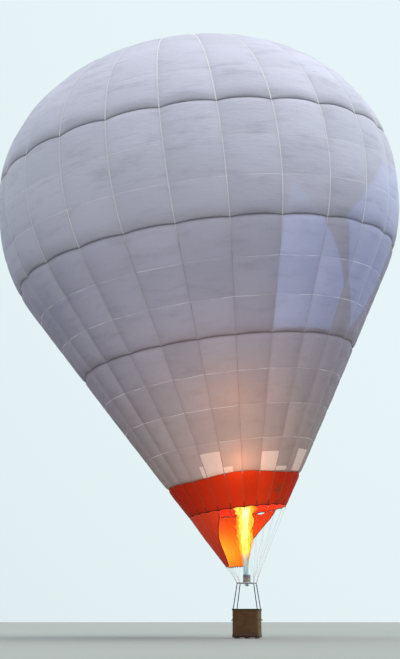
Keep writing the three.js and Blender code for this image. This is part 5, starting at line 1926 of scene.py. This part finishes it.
# %% Covers, flaps and straps of the uprights
COVER_SIDES = 24
COVER_LEVELS = 130
COVER_STRAPS = [0.03, 0.2, 0.4, 0.6, 0.8, 0.97]
for name, corner in corners.items():
    low = upright_point(corner, UPRIGHT_FOOT + 0.0003)
    high = upright_point(corner, FRAME_UP - 0.0505)
    along = (high - low).normalized()
    matrix = pointing(low, along, (*corner["side"], 0))
    long = (high - low).length
    cover_rows = []
    for i in range(COVER_LEVELS + 1):
        h = i / COVER_LEVELS
        held = max(exp(-((h - s) * long / 0.02) ** 2) for s in COVER_STRAPS)
        crumple = 0.0011 * sin(h * 61 + corner["side"][0]) * (1 - held)
        for j in range(COVER_SIDES):
            a = 2 * pi * j / COVER_SIDES
            flap = 0.0009 if 0.1 < (j / COVER_SIDES) < 0.38 else 0.0
            fold = 0.0008 * sin(3 * a + h * 40)
            r = 0.0168 - 0.0022 * held + crumple + flap + fold * (1 - held)
            cover_rows.append(tuple(matrix @ Vector((r * cos(a), r * sin(a), h * long))))
    faces = tube_faces(COVER_LEVELS + 1, COVER_SIDES)
    faces.append(tuple(range(COVER_SIDES))[::-1])
    faces.append(tuple(range(COVER_LEVELS * COVER_SIDES, (COVER_LEVELS + 1) * COVER_SIDES)))
    cover = face_out(new_piece("padded_cover_" + name, cover_rows, faces=faces))
    cover.data.materials.append(sleeve_cloth)
    fit(cover, "balloon", "upright_cover", "upright_" + name)
    heights = [s * long for s in COVER_STRAPS]
    bands = straps_round("cover_straps_" + name, matrix, heights, 0.0158, 0.022, 0.0024, 20)
    fit(bands, "balloon", "upright_cover", smooth=False)

# %% [markdown]
# ## The flame
# The front burner is lit. A gas flame leaves the jets as a clear, pale blue column, and it turns yellow
# and ragged higher up, where it begins to soot. A flame has no surface, so it is drawn as soft shells
# inside each other. Each shell is a little see-through and glows by itself, and noise makes it ragged.

# %% Finish of a flame shell, coloured by height
FLAME_X = PIVOT.x
FLAME_Y = PIVOT.y - 0.165
FLAME_FOOT = PIVOT.z + 0.14
FLAME_LENGTH = 2.9


def flame_shell(name, stops, cover, strength):
    finish, tree, shader = new_finish(
        name, Base_Color=(0, 0, 0, 1), Roughness=1.0, Specular_IOR_Level=0.0, Emission_Strength=strength)
    place = place_in(tree)
    up = (split(place)[2] - FLAME_FOOT) / FLAME_LENGTH
    ragged = noise(scaled(place, (5.0, 5.0, 2.2)), 1.0, 4.0, 0.6)
    shade = ramp(up + (ragged - 0.5) * 0.16, stops)
    thick = ramp(up, [(h, (a, a, a)) for h, a in cover])
    alpha = thick * (eased(ragged, 0.25, 0.62) * 0.55 + 0.45)
    plug(tree, shader, Emission_Color=shade, Alpha=alpha)
    return finish


outer_stops = [(0.0, (0.15, 0.36, 0.46)), (0.26, (0.26, 0.40, 0.42)), (0.34, (1.0, 0.36, 0.02)),
               (0.75, (1.0, 0.46, 0.02)), (1.0, (1.0, 0.36, 0.02))]
middle_stops = [(0.0, (0.09, 0.25, 0.33)), (0.27, (0.30, 0.36, 0.28)), (0.35, (1.0, 0.60, 0.04)),
                (0.8, (1.0, 0.72, 0.06)), (1.0, (1.0, 0.5, 0.04))]
inner_stops = [(0.0, (0.06, 0.18, 0.25)), (0.28, (0.38, 0.40, 0.26)), (0.37, (1.0, 0.80, 0.08)),
               (0.8, (1.0, 0.88, 0.16)), (1.0, (1.0, 0.7, 0.08))]
core_stops = [(0.0, (0.08, 0.14, 0.16)), (0.32, (0.8, 0.7, 0.3)), (0.45, (1.0, 0.93, 0.35)),
              (0.8, (1.0, 0.97, 0.75)), (1.0, (1.0, 0.95, 0.6))]
outer_cover = [(0.0, 0.30), (0.30, 0.25), (0.38, 0.35), (1.0, 0.4)]
middle_cover = [(0.0, 0.42), (0.30, 0.40), (0.38, 0.5), (1.0, 0.6)]
inner_cover = [(0.0, 0.5), (0.30, 0.45), (0.40, 0.65), (1.0, 0.7)]
core_cover = [(0.0, 0.3), (0.30, 0.3), (0.40, 0.8), (0.5, 1.0), (1.0, 1.0)]
outer_flame = flame_shell("flame_outer", outer_stops, outer_cover, 1.1)
middle_flame = flame_shell("flame_middle", middle_stops, middle_cover, 1.4)
inner_flame = flame_shell("flame_inner", inner_stops, inner_cover, 1.7)
core_flame = flame_shell("flame_core", core_stops, core_cover, 2.4)
print("flame finishes ready")

# %% [markdown]
# ## Tongues of the flame
# `FLAME_LINE` gives the half-width of the flame at heights from the jets up. Fractal noise that drifts
# upwards pushes the shell in and out to make tongues, and two slow waves bend the whole column. The shells
# ride on the burner, so the flame turns with it.

# %% Nested shells with ragged tongues
FLAME_LINE = [
    (0.0, 0.085), (0.10, 0.105), (0.27, 0.125), (0.34, 0.20), (0.42, 0.24), (0.55, 0.27), (0.65, 0.28),
    (0.74, 0.24), (0.84, 0.23), (0.94, 0.34), (0.985, 0.28), (1.0, 0.0)]


def tongue_shape(name, share, long, seed, finish, sides=40, levels=110):
    levels_at, widths = zip(*FLAME_LINE)
    shape = bmesh.new()
    rows = []
    for i in range(levels):
        h = i / (levels - 1)
        wide = float(np.interp(h, levels_at, widths)) * share
        z = FLAME_FOOT + h * FLAME_LENGTH * long
        wild = max(0.0, h - 0.26) ** 0.8
        x = FLAME_X - 0.05 * h + 0.06 * wild * sin(5.3 * h + seed) - 0.01
        y = FLAME_Y + 0.06 * wild * sin(4.1 * h + seed * 2)
        if i in (0, levels - 1):
            rows.append([shape.verts.new((x, y, z))])
            continue
        row = []
        for j in range(sides):
            a = 2 * pi * j / sides
            flow = Vector((cos(a) * 2.1, sin(a) * 2.1, h * 8.0 - seed))
            lick = fractal(flow, 0.8, 2.1, 5) * 0.62 * wild + 0.04 * fractal(flow * 2.2, 0.9, 2.1, 2)
            r = max(0.01, wide * (1 + lick * 2.1))
            peak = abs(lick) * 0.12 * wild
            row.append(shape.verts.new((x + r * cos(a), y + r * sin(a), z + peak)))
        rows.append(row)
    skin_rows(shape, rows, sides)
    return piece_from(shape, name, finish)


shells = [
    tongue_shape("flame_outer", 1.0, 1.0, 1.3, outer_flame),
    tongue_shape("flame_mid", 0.8, 0.985, 3.7, middle_flame),
    tongue_shape("flame_inner", 0.62, 0.97, 6.1, inner_flame),
    tongue_shape("flame_heart", 0.42, 0.95, 9.4, core_flame),
]
for shell in shells:
    settle(shell, "burner", "burner_can")

# %% [markdown]
# ## Floor, sky and light
# The balloon stands over a plain pale floor, under a pale sky that is brightest above and behind it. A
# broad soft lamp from above gives the dome its brightness and leaves the cone in shade. Two small warm
# lamps stand where the flame is.

# %% Floor, sky and lamps
floor_finish, tree, shader = new_finish("floor", Roughness=0.9)
spread = noise(place_in(tree), 0.05, 2.0)
plug(tree, shader, Base_Color=blended(tree, spread, (0.38, 0.40, 0.38), (0.43, 0.44, 0.42)))
FLOOR_HALF = 400
floor_corners = [(x * FLOOR_HALF, y * FLOOR_HALF, GROUND) for x, y in ((-1, -1), (1, -1), (1, 1), (-1, 1))]
floor = new_piece("floor", floor_corners, faces=[(0, 1, 2, 3)])
floor.data.materials.append(floor_finish)

BRIGHT_SKY = (0.30, 0.80, 0.52)
world = bpy.data.worlds.new("sky")
world.use_nodes = True
sky = world.node_tree.nodes["Background"]
sky.inputs["Strength"].default_value = 1.05
direction = Thread.node(world.node_tree, "ShaderNodeTexCoord", out="Generated")
toward = measured(direction, BRIGHT_SKY, "DOT_PRODUCT")
pale = blended(world.node_tree, eased(toward, -0.3, 0.95), (0.33, 0.36, 0.40), (0.76, 0.87, 0.89))
world.node_tree.links.new(pale.socket, sky.inputs["Color"])
bpy.context.scene.world = world
bpy.context.scene.view_settings.view_transform = "Standard"


def add_lamp(name, kind, place, energy, colour, **settings):
    lamp = bpy.data.lights.new(name, kind)
    lamp.energy = energy
    lamp.color = colour
    for key, value in settings.items():
        setattr(lamp, key, value)
    holder = bpy.data.objects.new(name, lamp)
    holder.location = place
    scene_objects.link(holder)
    return holder


high_sun = add_lamp("high_sun", "SUN", (0, 0, 20), 1.65, (1.0, 0.98, 0.95), angle=radians(70))
high_sun.rotation_euler = (radians(4), radians(14), 0)
for name, up, energy in (("flame_lamp_low", 1.3, 30.0), ("flame_lamp_high", 2.9, 120.0)):
    add_lamp(name, "POINT", (PIVOT.x, 0, PIVOT.z + up), energy, (1.0, 0.5, 0.2), shadow_soft_size=0.25)
print("lamps placed")
